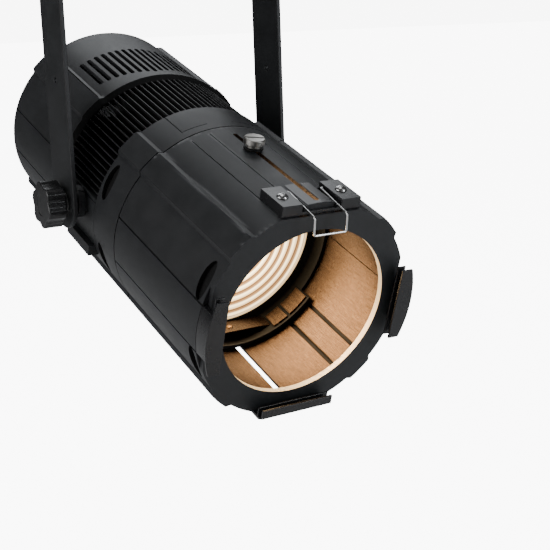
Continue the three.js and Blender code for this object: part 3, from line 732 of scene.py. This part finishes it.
# ---------- frame guides
def make_guides():
    """Three slotted guides that hold an accessory in front of the mouth."""
    wall = rod("y", -20, 10, WALL_R, 160)
    block = carved(box((88.3, -13, -21), (OUTSIDE, 4.6, 21)), ("INTERSECT", wall))
    rib = box((81.5, -7.2, -32.5), (89.3, -5.8, 32.5))
    round_edge = rod("y", -20, 10, WALL_R + 1.5, 160)
    lip = carved(box((81.5, -14, -32.5), (OUTSIDE, -12, 32.5)), ("INTERSECT", round_edge))
    for label, side in (("right", 1), ("left", -1)):
        shapes = [shape if side > 0 else mirrored(shape) for shape in (block, rib, lip)]
        build(
            f"frame_guide_{label}", shapes[0], "lamp", "powder_coat", SHEET, add=shapes[1:],
            bevel=0.35, replaces=[f"guide_{label}"],
        )
    profile = [
        (-14, -79.5), (-12, -79.5), (-12, -88.3), (-7.2, -88.3), (-7.2, -80.5), (-5.8, -80.5),
        (-5.8, -88.3), (4.6, -88.3), (4.6, -91.3), (-8, -91.3), (-14, -87.5),
    ]
    guide = prism(profile, -34, 34, "x")
    build("frame_guide_bottom", guide, "lamp", "powder_coat", SHEET, bevel=0.35, replaces=["guide_bottom"])


# ---------- wire clip and bracket
BRACKET_HALF = 36
BRACKET_INNER = 18
BRACKET_TOP = 97.8
BRACKET_FRONT = 2.2
BRACKET_BACK = 35
CLIP_SCREW = (27, 18)  # x, y


def make_clip_bracket():
    seat = WALL_R + 0.4
    steps = 8
    across = [BRACKET_INNER + (BRACKET_HALF - BRACKET_INNER) * i / steps for i in range(steps + 1)]
    edge = [(x, math.sqrt(seat * seat - x * x)) for x in across]
    edge += [(BRACKET_HALF, BRACKET_TOP), (BRACKET_INNER, BRACKET_TOP)]
    pad = prism(edge, BRACKET_FRONT, BRACKET_BACK, "y")
    bridge = box((-BRACKET_HALF, BRACKET_FRONT, 88.4), (BRACKET_HALF, 4.7, 91.2))
    front = box((BRACKET_INNER, BRACKET_FRONT, 90), (BRACKET_HALF, 4.7, BRACKET_TOP))
    holes = [rod("x", 17, 23, 1.4, 16, CLIP_PIVOT)]
    holes.append(rod("z", 88, OUTSIDE, 1.9, 16, CLIP_SCREW))
    holes += [mirrored(hole) for hole in holes]
    build(
        "wire_clip_bracket", bridge, "lamp", "black_metal", SHEET,
        add=[pad, mirrored(pad), front, mirrored(front)], cut=holes, bevel=1.3, segments=3,
        replaces=["clip_bracket"],
    )
    tongue = sector(WALL_R + 0.05, WALL_R + 0.4, angle_at_x(11.5), angle_at_x(-11.5), 5.4, 40)
    slot = prism(capsule(2.6, 9.4, 60), 90, 100, "z")
    build("slot_end_plate", tongue, "lamp", "black_metal", SHEET, cut=[slot], bevel=0.15)


def cross_recess(x, y, top, depth=1.5, reach=2.0, width=0.8):
    """Two crossed slots for a screw head that faces up."""
    long_way = box((x - reach, y - width / 2, top - depth), (x + reach, y + width / 2, top + 2))
    other_way = box((x - width / 2, y - reach, top - depth), (x + width / 2, y + reach, top + 2))
    return [long_way, other_way]


def make_clip_screws():
    x, y = CLIP_SCREW
    dome = [(0, 2.8), (1.5, 2.7), (2.7, 2.35), (3.8, 1.6), (4.5, 0.8), (4.75, 0.3)]
    shank = [(1.6, 0.3), (1.6, -2), (0, -2)]
    for label, side in (("left", -1), ("right", 1)):
        screw = stood_up(turned(dome + shank, 40), (side * x, y, BRACKET_TOP))
        recess = cross_recess(side * x, y, BRACKET_TOP + 2.8)
        screw = carved(screw, *[("DIFFERENCE", slot) for slot in recess])
        build(
            f"clip_screw_{label}_domed", screw, "lamp", "nickel", STEEL, bevel=0.12,
            replaces=[f"clip_screw_{label}"],
        )


def make_wire():
    y, z = CLIP_PIVOT
    right_leg = [(21.5, y, z), (CLIP_X, y, z), (CLIP_X, -10.8, 92.3), (CLIP_X, -13.5, 78.5)]
    left_leg = [(-a, b, c) for a, b, c in reversed(right_leg)]
    wire = tube(rounded_line(right_leg + left_leg, 1.7), 0.9, 14)
    build("frame_clip_wire", wire, "frame_clip", "stainless", STEEL, bevel=0, replaces=["frame_clip"])


# ---------- focus knob
def make_focus_knob():
    profile = [(0, 83), (1.7, 83), (1.7, 97.3), (6.2, 97.3), (6.4, 97.6)]
    for i in range(3):
        base = 97.9 + i * 0.8
        profile += [(6.5, base), (6.5, base + 0.4), (6.1, base + 0.55), (6.1, base + 0.65)]
    profile += [(6.5, 100.3), (8.4, 100.5), (9, 101.0), (9, 104.9), (8.8, 105.3), (8.2, 105.7), (0, 105.75)]
    knob = stood_up(turned(profile, 64), (0, FOCUS_Y, 0))
    slot = box((-12, -1.1, 103.9), (12, 1.1, 108))
    slot = moved(slot, Matrix.Translation((0, FOCUS_Y, 0)) @ Matrix.Rotation(math.radians(-20), 4, "Z"))
    build(
        "focus_knob_slotted", knob, "focus_knob", "nickel", NICKEL, cut=[slot], bevel=0.2,
        replaces=["focus_knob"],
    )
    section = [(2, 96), (8.2, 96), (8.4, 96.5), (8.2, 97.2), (2, 97.2)]
    washer = stood_up(turned(section, 48, True), (0, FOCUS_Y, 0))
    build("focus_knob_washer", washer, "focus_knob", "black_plastic", MATT_BLACK, bevel=0)


# ---------- carriage and front lens
LENS_Y = 116.3
SHOE_ANGLES = (-62.5, -35.6)  # the shoe on the carriage's lower right, black metal with the beam's warm light painted on in the bore's bronze
SILL_X = 38.5  # half width of the flat sill below the lens
SILL_Z = -76.4  # its top face
SKIRT_ANGLES = (-145.2, -34.8)


def make_carriage():
    ring = [
        (87.7, CARRIAGE_RING_Y), (87.7, 130), (77.6, 130), (77.6, 116), (75.2, 116), (75.2, 114.6),
        (78.6, 114.0), (83.8, 113.0), (85.6, 109), (86.5, CARRIAGE_RING_Y),
    ]
    hole = rod("z", 82, 95, 2, 16, (0, FOCUS_Y))
    build(
        "carriage_body", turned(ring, 128, True), "focus_carriage", "black_metal", MATT_BLACK,
        cut=[hole], bevel=0.3, replaces=["lens_carriage"],
    )
    skirt = [
        (84.4, CARRIAGE_Y), (87.7, CARRIAGE_Y), (87.7, 105), (86.4, 105),
        (86.4, CARRIAGE_Y + 2.2), (84.4, CARRIAGE_Y + 2.2),
    ]
    build(
        "carriage_skirt", swept(skirt, *SKIRT_ANGLES), "focus_carriage", "black_metal", MATT_BLACK,
        bevel=0.3,
    )
    mirrored_shoe = tuple(-180 - angle for angle in reversed(SHOE_ANGLES))
    for label, angles in (("right", SHOE_ANGLES), ("left", mirrored_shoe)):
        middle = (angles[0] + angles[1]) / 2 - 2.2
        gap = sector(83, 90, middle - 0.9, middle + 0.9, 80, 120)
        shoe = sector(83.8, 86.3, angles[0], angles[1], CARRIAGE_Y + 4, 108)
        # The shoes are black metal; the bore's finish paints the beam's warm light on them.
        build(
            f"carriage_shoe_{label}", shoe, "focus_carriage", "black_metal", BORE_WARM_LIT, cut=[gap], bevel=0.3,
        )
    # The sill is black metal; the bore's finish paints the beam's warm light on it.
    plate = box((-SILL_X, 97, SILL_Z - 1.4), (SILL_X, 113, SILL_Z))
    build("carriage_sill", plate, "focus_carriage", "black_metal", BORE_WARM_LIT, bevel=0.3)
    # The screw is nickel; its bronze tone is the beam's warm light painted on.
    head = [(0, -1.5), (1.5, -1.4), (2.6, -0.8), (2.9, 0), (0, 0)]
    screw = moved(turned(head, 28), Matrix.Rotation(-math.pi / 2, 4, "X"))
    screw = moved(screw, Matrix.Translation((0, 104, SILL_Z)))
    build("carriage_screw", screw, "focus_carriage", "nickel", WARM_LIT_SCREW, bevel=0)


def make_front_lens():
    """A lens with stepped rings that bulge towards the mouth, in a thin bezel that glows with painted
    light.
    """
    rim = 75
    profile = [(0, LENS_Y + 5), (77.3, LENS_Y + 5), (77.3, LENS_Y), (rim, LENS_Y)]
    outer = rim
    for ring in range(int(rim / LENS_STEP), 0, -1):
        inner = ring * LENS_STEP
        profile += [(outer - 0.3, LENS_Y - 0.3), ((outer + inner) / 2, LENS_Y - 2.2)]
        profile += [(inner + 0.5, LENS_Y - 3.2), (inner + 0.1, LENS_Y - 0.5)]
        outer = inner
    profile += [(outer * 0.5, LENS_Y - 3.6), (0, LENS_Y - 4.4)]
    build(
        "front_lens_stepped", turned(profile, 112), "focus_carriage", "clear_glass", LENS, bevel=0,
        replaces=["front_lens"],
    )
    bezels = ((73.9, 75.0, 113.9), (71.4, 72.4, 113.2))
    # The bezels take the rim's painted glow.
    for number, (inner, outer, front) in enumerate(bezels, 1):
        section = [(inner, front), (outer, front), (outer, front + 1.2), (inner, front + 1.2)]
        build(
            f"lens_bezel_{number}", turned(section, 112, True), "focus_carriage", "nickel", RIM_GLOW, bevel=0.2,
        )


# ---------- collar
def seam_cutter(y0, y1):
    """A shallow step round the whole outline, where two castings meet."""
    inner, outer = 0.985, 1.1
    return barrel_shell(
        (y0, barrel_radius, inner), (y1, barrel_radius, inner),
        (y1, barrel_radius, outer), (y0, barrel_radius, outer),
    )


def make_collar():
    shell = straight_shell(COLLAR_START, COLLAR_END, BORE_R)
    lines = [line_along(angle_at_x(side * PANEL_X), 166, 205) for side in (-1, 1)]
    for start, end in ((PANEL_X, 12), (-12, -PANEL_X)):
        lines.append(sector(WALL_R - 0.8, CUTTER_R, angle_at_x(start), angle_at_x(end), 165.6, 166.5))
    collar = casting("collar", shell, cut=pockets_at(COLLAR_POCKET_Y) + lines, bevel=0.5)
    paint_inside(collar, COLLAR_POCKET_Y)


# ---------- heatsink
FIN_COUNT = 104
FIN_ROOT_R = 70
FIN_ROOT_HALF = 0.75
FIN_TIP_R = 94.4
FIN_TIP_HALF = 0.42
LOW_FIN_TIP_R = 86
LOW_FIN_Z = 16.8  # fins with their tips below this are inside the cradle


def make_heatsink():
    """Thin fins on a round core. They are shorter inside the cradle."""
    outline = []
    for fin in range(FIN_COUNT):
        centre = 360 * (fin + 0.5) / FIN_COUNT
        free = FIN_TIP_R * math.sin(math.radians(centre)) > LOW_FIN_Z
        tip = FIN_TIP_R if free else LOW_FIN_TIP_R
        corners = [(FIN_ROOT_R, -FIN_ROOT_HALF), (tip, -FIN_TIP_HALF)]
        corners += [(tip, FIN_TIP_HALF), (FIN_ROOT_R, FIN_ROOT_HALF)]
        for radius, across in corners:
            outline.append(polar(radius, centre + math.degrees(across / radius)))
    build(
        "heatsink_fins", prism(outline, CRADLE_START, CRADLE_END, "y"), "lamp", "heatsink_black", ANODISED,
        bevel=0.12, segments=1, replaces=["heatsink"],
    )


# ---------- cradle
CRADLE_BORE_R = 88


def make_cradle():
    """The lower half shell that holds the heatsink, with a boss on each side for the tilt stud."""
    shell = straight_shell(CRADLE_START, CRADLE_END, CRADLE_BORE_R)
    above = box((-120, 190, 15), (120, 280, 120))
    boss = rod("x", 89, 102, 14.5, 64, (AXIS_Y, 0))
    rail = box((84, 204, -42), (96, 253, -32))
    steps = [("DIFFERENCE", above)]
    steps += [("UNION", extra) for extra in (boss, mirrored(boss), rail, mirrored(rail))]
    steps.append(("DIFFERENCE", rod("y", 190, 280, CRADLE_BORE_R, 96)))
    hole = rod("x", 80, OUTSIDE, STUD_HOLE_R, 24, (AXIS_Y, 0))
    cuts = [hole, mirrored(hole)]
    cuts += [line_along(base - 7.5, 190, 280, 0.8, 0.8) for base in (0, 180)]
    casting("cradle", carved(shell, *steps), cut=cuts, bevel=0.6)


# ---------- rear housing and cap
REAR_INNER_R = 92.5
HOUSING_LINE_ANGLE = 38.5  # degrees from the top to the groove on each side of it
VENT_COUNT = 15
VENT_PITCH = 7
VENT_START = 290  # front end of the middle vent
VENT_STEP = 1.6  # each vent to the side starts this much further back
VENT_END = 352


def make_rear_housing():
    """The rear shell, with a raised lip in front and long vents on top."""
    def lip(angle):
        return barrel_radius(angle, WALL_R + 2, BAND_HEIGHT - 1.5)

    shell = barrel_shell(
        (HOUSING_START, lip, 0.955), (HOUSING_START + 4.2, lip), (HOUSING_START + 8.4, lip),
        (HOUSING_START + 8.8, barrel_radius), (HOUSING_END, barrel_radius),
        (HOUSING_END, REAR_INNER_R), (HOUSING_START, REAR_INNER_R),
    )
    cuts = []
    for number in range(VENT_COUNT):
        i = number - VENT_COUNT // 2
        vent = prism(capsule(2, VENT_START + abs(i) * VENT_STEP, VENT_END), 70, OUTSIDE, "z")
        cuts.append(moved(vent, Matrix.Translation((i * VENT_PITCH, 0, 0))))
    for side in (-1, 1):
        cuts.append(line_along(90 + side * HOUSING_LINE_ANGLE, 282, 405, 1.0, 0.8))
    cuts += flank_lines(284, 405)
    housing = casting("rear_housing", shell, cut=cuts, bevel=0.5)
    housing.data.materials.append(MATT_BLACK)
    for polygon in housing.data.polygons:
        if (TO_BARREL @ polygon.center).y < HOUSING_START + 3.9:
            polygon.material_index = 1


CONNECTOR_Z = -20
CONNECTOR_X = {"power_inlet": -40, "data_in_socket": 0, "data_out_socket": 40}
BUTTON_Z = 14
BUTTON_XS = (-27, -9, 9, 27)
FUSE_Z = -50
PANEL_SCREW = 46  # each panel screw is this far across and up or down
EYE_Z = 60
EYE_R = 9.5
CAP_START = 400


def at_panel(profile, count, x, z):
    """A turned piece on the rear panel, from pairs of radius and height above the panel."""
    shape = turned([(radius, REAR_END + rise) for radius, rise in profile], count)
    return moved(shape, Matrix.Translation((x, 0, z)))


def make_rear_cap():
    shell = barrel_shell(
        (CAP_START, barrel_radius), (CAP_START + 4, barrel_radius, 0.985),
        (REAR_END - 2, barrel_radius, REAR_SCALE + 0.012), (REAR_END, barrel_radius, REAR_SCALE),
        (REAR_END, 1.0), (PANEL_INNER, 1.0),
        (PANEL_INNER, REAR_INNER_R, REAR_SCALE - 0.01), (CAP_START, REAR_INNER_R),
    )
    centre = rod("y", PANEL_INNER, REAR_END, 3, 16)
    through = (PANEL_INNER - 2, REAR_END + 2)
    holes = [rod("y", *through, 12.5, 32, (x, CONNECTOR_Z)) for x in CONNECTOR_X.values()]
    holes += [rod("y", *through, 5.3, 24, (x, BUTTON_Z)) for x in BUTTON_XS]
    holes.append(rod("y", *through, 7.3, 24, (0, FUSE_Z)))
    holes.append(prism(rectangle(-26, 28, 26, 50), *through, "y"))
    for x in (-PANEL_SCREW, PANEL_SCREW):
        holes += [rod("y", *through, 2.1, 16, (x, z)) for z in (-PANEL_SCREW, PANEL_SCREW)]
    casting("rear_cap", shell, add=[centre], cut=holes, bevel=0.4)
    frame_outer = prism(rectangle(-29, 25, 29, 53), REAR_END + 0.02, REAR_END + 1.2, "y")
    window = prism(rectangle(-25, 29, 25, 49), REAR_END - 3, REAR_END + 3, "y")
    build("display_bezel", frame_outer, "lamp", "black_plastic", PLASTIC, cut=[window], bevel=0.4)
    glass = box((-25.6, REAR_END - 2.3, 28.4), (25.6, REAR_END - 0.4, 49.6))
    build("display_glass", glass, "lamp", "display", SCREEN, bevel=0.3, replaces=["display_window"])


def make_sockets():
    cup = [
        (0, -12), (9.5, -12), (9.5, 1.6), (9.9, 2), (13.2, 2), (13.9, 1.4), (14, 0.3), (12, 0.3),
        (12, -14), (0, -14),
    ]
    pin = [(0, -11.9), (1.1, -11.9), (1.1, -4), (0.5, -3.2), (0, -3.1)]
    sockets = (
        ("data_in_socket", 5, "nickel", NICKEL),
        ("data_out_socket", 5, "nickel", NICKEL),
        ("power_inlet", 3, "socket_plastic", PLASTIC),
    )
    for name, contacts, slot, material in sockets:
        x = CONNECTOR_X[name]
        build(
            f"{name}_shell", at_panel(cup, 48, x, CONNECTOR_Z), "lamp", slot, material, bevel=0.15,
            replaces=[name],
        )
        for i in range(contacts):
            dx, dz = polar(5.2, 90 + 360 * i / contacts)
            build(
                f"{name}_contact_{i + 1}", at_panel(pin, 16, x + dx, CONNECTOR_Z + dz), "lamp",
                "nickel", NICKEL, bevel=0,
            )


def make_panel_parts():
    """Buttons, the fuse cap, the panel screws and the safety eye."""
    button = [(0, -4.5), (6.5, -4.5), (6.5, -3.3), (5, -3.3), (5, 2.0), (4.6, 2.5), (3.6, 2.4), (0, 1.9)]
    for number, x in enumerate(BUTTON_XS, 1):
        build(
            f"button_cap_{number}", at_panel(button, 40, x, BUTTON_Z), f"button_{number}",
            "black_plastic", PLASTIC, bevel=0.1, replaces=[f"button_{number}"],
        )
    fuse = [(0, -22), (7, -22), (7, 0.3), (8.5, 0.3), (8.5, 3), (7.6, 3.8), (0, 4)]
    fuse_slot = box((-5, REAR_END + 2.6, FUSE_Z - 0.8), (5, REAR_END + 6, FUSE_Z + 0.8))
    build(
        "fuse_cap", at_panel(fuse, 40, 0, FUSE_Z), "lamp", "black_plastic", PLASTIC,
        cut=[fuse_slot], bevel=0.25, replaces=["fuse_holder"],
    )
    dome = [
        (0, -7), (1.6, -7), (1.6, 0.3), (3.95, 0.3), (3.7, 1.2), (2.9, 2.1), (1.6, 2.65), (0, 2.8),
    ]
    for number, (sx, sz) in enumerate(((1, 1), (-1, 1), (-1, -1), (1, -1)), 1):
        x, z = sx * PANEL_SCREW, sz * PANEL_SCREW
        recess = [
            box((x - wide, REAR_END + 1.4, z - high), (x + wide, REAR_END + 4, z + high))
            for wide, high in ((2.1, 0.4), (0.4, 2.1))
        ]
        build(
            f"rear_screw_{number}_domed", at_panel(dome, 32, x, z), "lamp", "stainless", STEEL,
            cut=recess, bevel=0.1, replaces=[f"rear_screw_{number}"],
        )
    base = REAR_END + 0.3
    centre = (base + EYE_R, EYE_Z)
    outline = [(base, EYE_Z - EYE_R), *arc(centre, EYE_R, -90, 90, 24), (base, EYE_Z + EYE_R)]
    build(
        "safety_eye_plate", prism(outline, -2.5, 2.5, "x"), "lamp", "stainless", STEEL,
        cut=[rod("x", -5, 5, 6, 40, centre)], bevel=0.8, segments=3, replaces=["safety_eye"],
    )


# ---------- yoke and tilt hardware
YOKE_BEND_R = 18
YOKE_THICKNESS = 4
YOKE_END_R = 23  # round ends of the arms, and half the bar's width
YOKE_SIDES = (-120, 120)  # cutters from one side of the yoke to the other
ARM_HOLE_R = 2.5
ARM_HOLE_RISE = 108  # from the tilt axis up to the small hole in each arm
CLAMP_HOLE_R = 6.5


def make_yoke():
    """A bent flat bar with round ends, and holes for the studs, the clamp and a pair in its arms."""
    bend = YOKE_BEND_R
    inner = bend - YOKE_THICKNESS
    foot = -AXIS_DROP - YOKE_END_R - 1
    right, left = (ARM_X - bend, -bend), (bend - ARM_X, -bend)
    outline = [(ARM_X, foot), *arc(right, bend, 0, 90, 14), *arc(left, bend, 90, 180, 14)]
    outline += [(-ARM_X, foot), (YOKE_THICKNESS - ARM_X, foot)]
    outline += [*arc(left, inner, 180, 90, 14), *arc(right, inner, 90, 0, 14)]
    outline.append((ARM_X - YOKE_THICKNESS, foot))
    arm = [(YOKE_END_R, 1), (-YOKE_END_R, 1), *arc((0, -AXIS_DROP), YOKE_END_R, 180, 360, 36)]
    bar = prism(outline, -YOKE_END_R - 2, YOKE_END_R + 2, "y")
    holes = [
        rod("x", *YOKE_SIDES, STUD_HOLE_R, 32, (0, -AXIS_DROP)),
        rod("x", *YOKE_SIDES, ARM_HOLE_R, 20, (0, -AXIS_DROP + ARM_HOLE_RISE)),
        rod("z", -6, 2, CLAMP_HOLE_R, 40),
    ]
    build(
        "yoke_bar", carved(bar, ("INTERSECT", prism(arm, *YOKE_SIDES, "x"))), "yoke", "yoke_coat", POWDER,
        cut=holes, bevel=0.7, segments=3, place=ROW, replaces=["yoke"],
    )


LOBE_TURN = 22  # degrees from level to the first lobe


def knob_outline(radius, depth, lobes=6, steps=24):
    """A star grip: flat-topped lobes with wide scallops between them, and four fine ridges in each."""
    outline = []
    for i in range(lobes * steps):
        share = (i % steps) / steps
        from_lobe = min(share, 1 - share) * 2
        dip = 0 if from_lobe < 0.3 else math.sin((from_lobe - 0.3) / 0.7 * math.pi / 2)
        ridge = 0.35 if from_lobe > 0.7 and i % 2 else 0
        outline.append(polar(radius - depth * dip + ridge, 360 * i / (lobes * steps) + LOBE_TURN))
    return outline


def at_axis(shape, side):
    """A right-hand shape, put on the tilt axis and mirrored for the left."""
    placed = moved(shape, Matrix.Translation((0, 0, -AXIS_DROP)))
    return placed if side > 0 else mirrored(placed)


def make_tilt_hardware():
    """On each side, from outside in: the knob, the washer and the friction disc."""
    grip_rings = ((115.0, 19.6, 2.4), (116.2, 20.9, 3.2), (131.4, 20.9, 3.2), (132.3, 20.1, 3.2))
    grip = rings_shape([[(x, y, z) for y, z in knob_outline(r, depth)] for x, r, depth in grip_rings])
    neck = rod("x", 113, 116, 15, 48)
    dish = rod("x", 131.9, 134, 9.5, 48)
    disc_rings = ((102.3, 13.7), (103.2, 14.5), (105.3, 14.5), (106.1, 13.9))
    disc = rings_shape([[(x, y, z) for y, z in circle(r, 48)] for x, r in disc_rings])
    washer = rod("x", 110.7, 112.7, 12.4, 48)
    knob_bore, disc_hole, washer_hole = [
        rod("x", start, end, STUD_HOLE_R, 24) for start, end in ((110, 127), (100, 110), (108, 114))
    ]
    for label, side in (("left", -1), ("right", 1)):
        build(
            f"tilt_knob_{label}_grip", at_axis(grip, side), f"{label}_tilt_knob", "black_plastic", PLASTIC,
            add=[at_axis(neck, side)], cut=[at_axis(knob_bore, side), at_axis(dish, side)],
            bevel=0.35, place=ROW, replaces=[f"tilt_knob_{label}"],
        )
        build(
            f"friction_disc_{label}_moulded", at_axis(disc, side), "lamp", "black_plastic", MATT_BLACK,
            cut=[at_axis(disc_hole, side)], bevel=0.2, place=ROW, replaces=[f"friction_disc_{label}"],
        )
        build(
            f"tilt_washer_{label}_plain", at_axis(washer, side), "lamp", "stainless", STEEL,
            cut=[at_axis(washer_hole, side)], bevel=0.3, place=ROW, replaces=[f"tilt_washer_{label}"],
        )


# ---------- finishes for CAD nodes that stay
def keep_with(material, *names):
    """Gives CAD nodes that stay a material of this script's."""
    for name in names:
        data = nodes[name].data
        data.materials.clear()
        data.materials.append(material)


make_lens_tube()
make_guides()
make_clip_bracket()
make_clip_screws()
make_wire()
make_focus_knob()
make_carriage()
make_front_lens()
make_collar()
make_heatsink()
make_cradle()
make_rear_housing()
make_rear_cap()
make_sockets()
make_panel_parts()
make_yoke()
make_tilt_hardware()
keep_with(MATT_BLACK, "lens_retainer", "gate_plate", "condenser_ring")
keep_with(STEEL, "tilt_stud_left", "tilt_stud_right")
keep_with(ALUMINIUM, "reflector", "power_supply")
keep_with(BOARD, "led_board", "driver_board")
keep_with(PLASTIC, "fan_frame", "fan_rotor")
# The condenser lens takes the front lens's painted glow too; the LED emitter is the lamp itself.
keep_with(LENS, "condenser_lens", "led_emitter")


# ---------- stage and light
FLOOR_HALF = 40
FLOOR_Z = -0.62
BACKDROP = 10.0  # brightness of the backdrop behind the object


def make_floor():
    """A pale floor, a little brighter where the camera sees it."""
    mesh = bpy.data.meshes.new("floor")
    corners = rectangle(-FLOOR_HALF, -FLOOR_HALF, FLOOR_HALF, FLOOR_HALF)
    mesh.from_pydata([(x, y, FLOOR_Z) for x, y in corners], [], [(0, 1, 2, 3)])
    floor = new_object("floor", mesh)
    n = Nodes("pale_floor")
    n.two_tones(n.noise(3, 2), (0.86, 0.86, 0.86), (0.9, 0.9, 0.9))
    path = n.add("ShaderNodeLightPath")
    n.link(n.spread(path.outputs["Is Camera Ray"], 0.0, 9.0, 0, 1), n.shader.inputs["Emission Strength"])
    n.set(Roughness=0.8, Emission_Color=(1, 1, 1, 1))
    mesh.materials.append(n.material)


def make_world():
    """A white backdrop, with softer light from it on the object and less from below."""
    world = bpy.data.worlds.new("studio")
    bpy.context.scene.world = world
    world.use_nodes = True
    add, link = world.node_tree.nodes.new, world.node_tree.links.new
    sky = world.node_tree.nodes["Background"]
    split = add("ShaderNodeSeparateXYZ")
    link(add("ShaderNodeTexCoord").outputs["Generated"], split.inputs[0])
    rise = add("ShaderNodeMapRange")
    limits = {"From Min": -0.6, "From Max": 0.9, "To Min": 0.75, "To Max": 1.25}
    for name, value in limits.items():
        rise.inputs[name].default_value = value
    link(split.outputs["Z"], rise.inputs["Value"])
    link(rise.outputs["Result"], sky.inputs["Strength"])
    backdrop = add("ShaderNodeBackground")
    backdrop.inputs["Strength"].default_value = BACKDROP
    mix = add("ShaderNodeMixShader")
    link(add("ShaderNodeLightPath").outputs["Is Camera Ray"], mix.inputs["Fac"])
    link(sky.outputs[0], mix.inputs[1])
    link(backdrop.outputs[0], mix.inputs[2])
    link(mix.outputs[0], world.node_tree.nodes["World Output"].inputs["Surface"])


def area_light(name, spot, target, size, power, color=(1, 1, 1)):
    data = bpy.data.lights.new(name, "AREA")
    data.shape = "RECTANGLE"
    data.size, data.size_y = size
    data.energy = power
    data.color = color
    light = new_object(name, data)
    aim = (Vector(target) - Vector(spot)).to_track_quat("-Z", "Y")
    light.matrix_world = Matrix.Translation(spot) @ aim.to_matrix().to_4x4()
    light.visible_camera = False
    return light


WARM = (1.0, 0.66, 0.36)
BEAM_Y = 108  # the lamp for the beam stands just in front of the lens
MIDDLE = (0, 0, -0.25)  # about the middle of the object


def make_beam():
    """Warm light in front of the lens. It moves with the carriage."""
    spot = BARREL @ Vector((0, BEAM_Y, 0))
    beam = area_light("beam", spot, mouth_centre, (0.11, 0.11), 0.4, WARM)
    beam.data.shape = "ELLIPSE"
    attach(beam, "focus_carriage")


make_floor()
make_world()
area_light("top_light", (0.55, 1.1, 1.35), MIDDLE, (1.5, 1.5), 17, (0.94, 0.97, 1.0))
area_light("high_light", (0.0, -0.4, 1.9), MIDDLE, (1.0, 1.0), 6)
area_light("left_light", (-1.9, -0.2, 0.35), MIDDLE, (1.6, 1.6), 24)
area_light("front_light", (0.2, -1.9, -0.1), MIDDLE, (1.2, 1.2), 2)
area_light("edge_light", (0.98, -1.65, 0.1), (0, -0.1, -0.25), (0.35, 1.5), 14, (0.92, 0.96, 1.0))
make_beam()
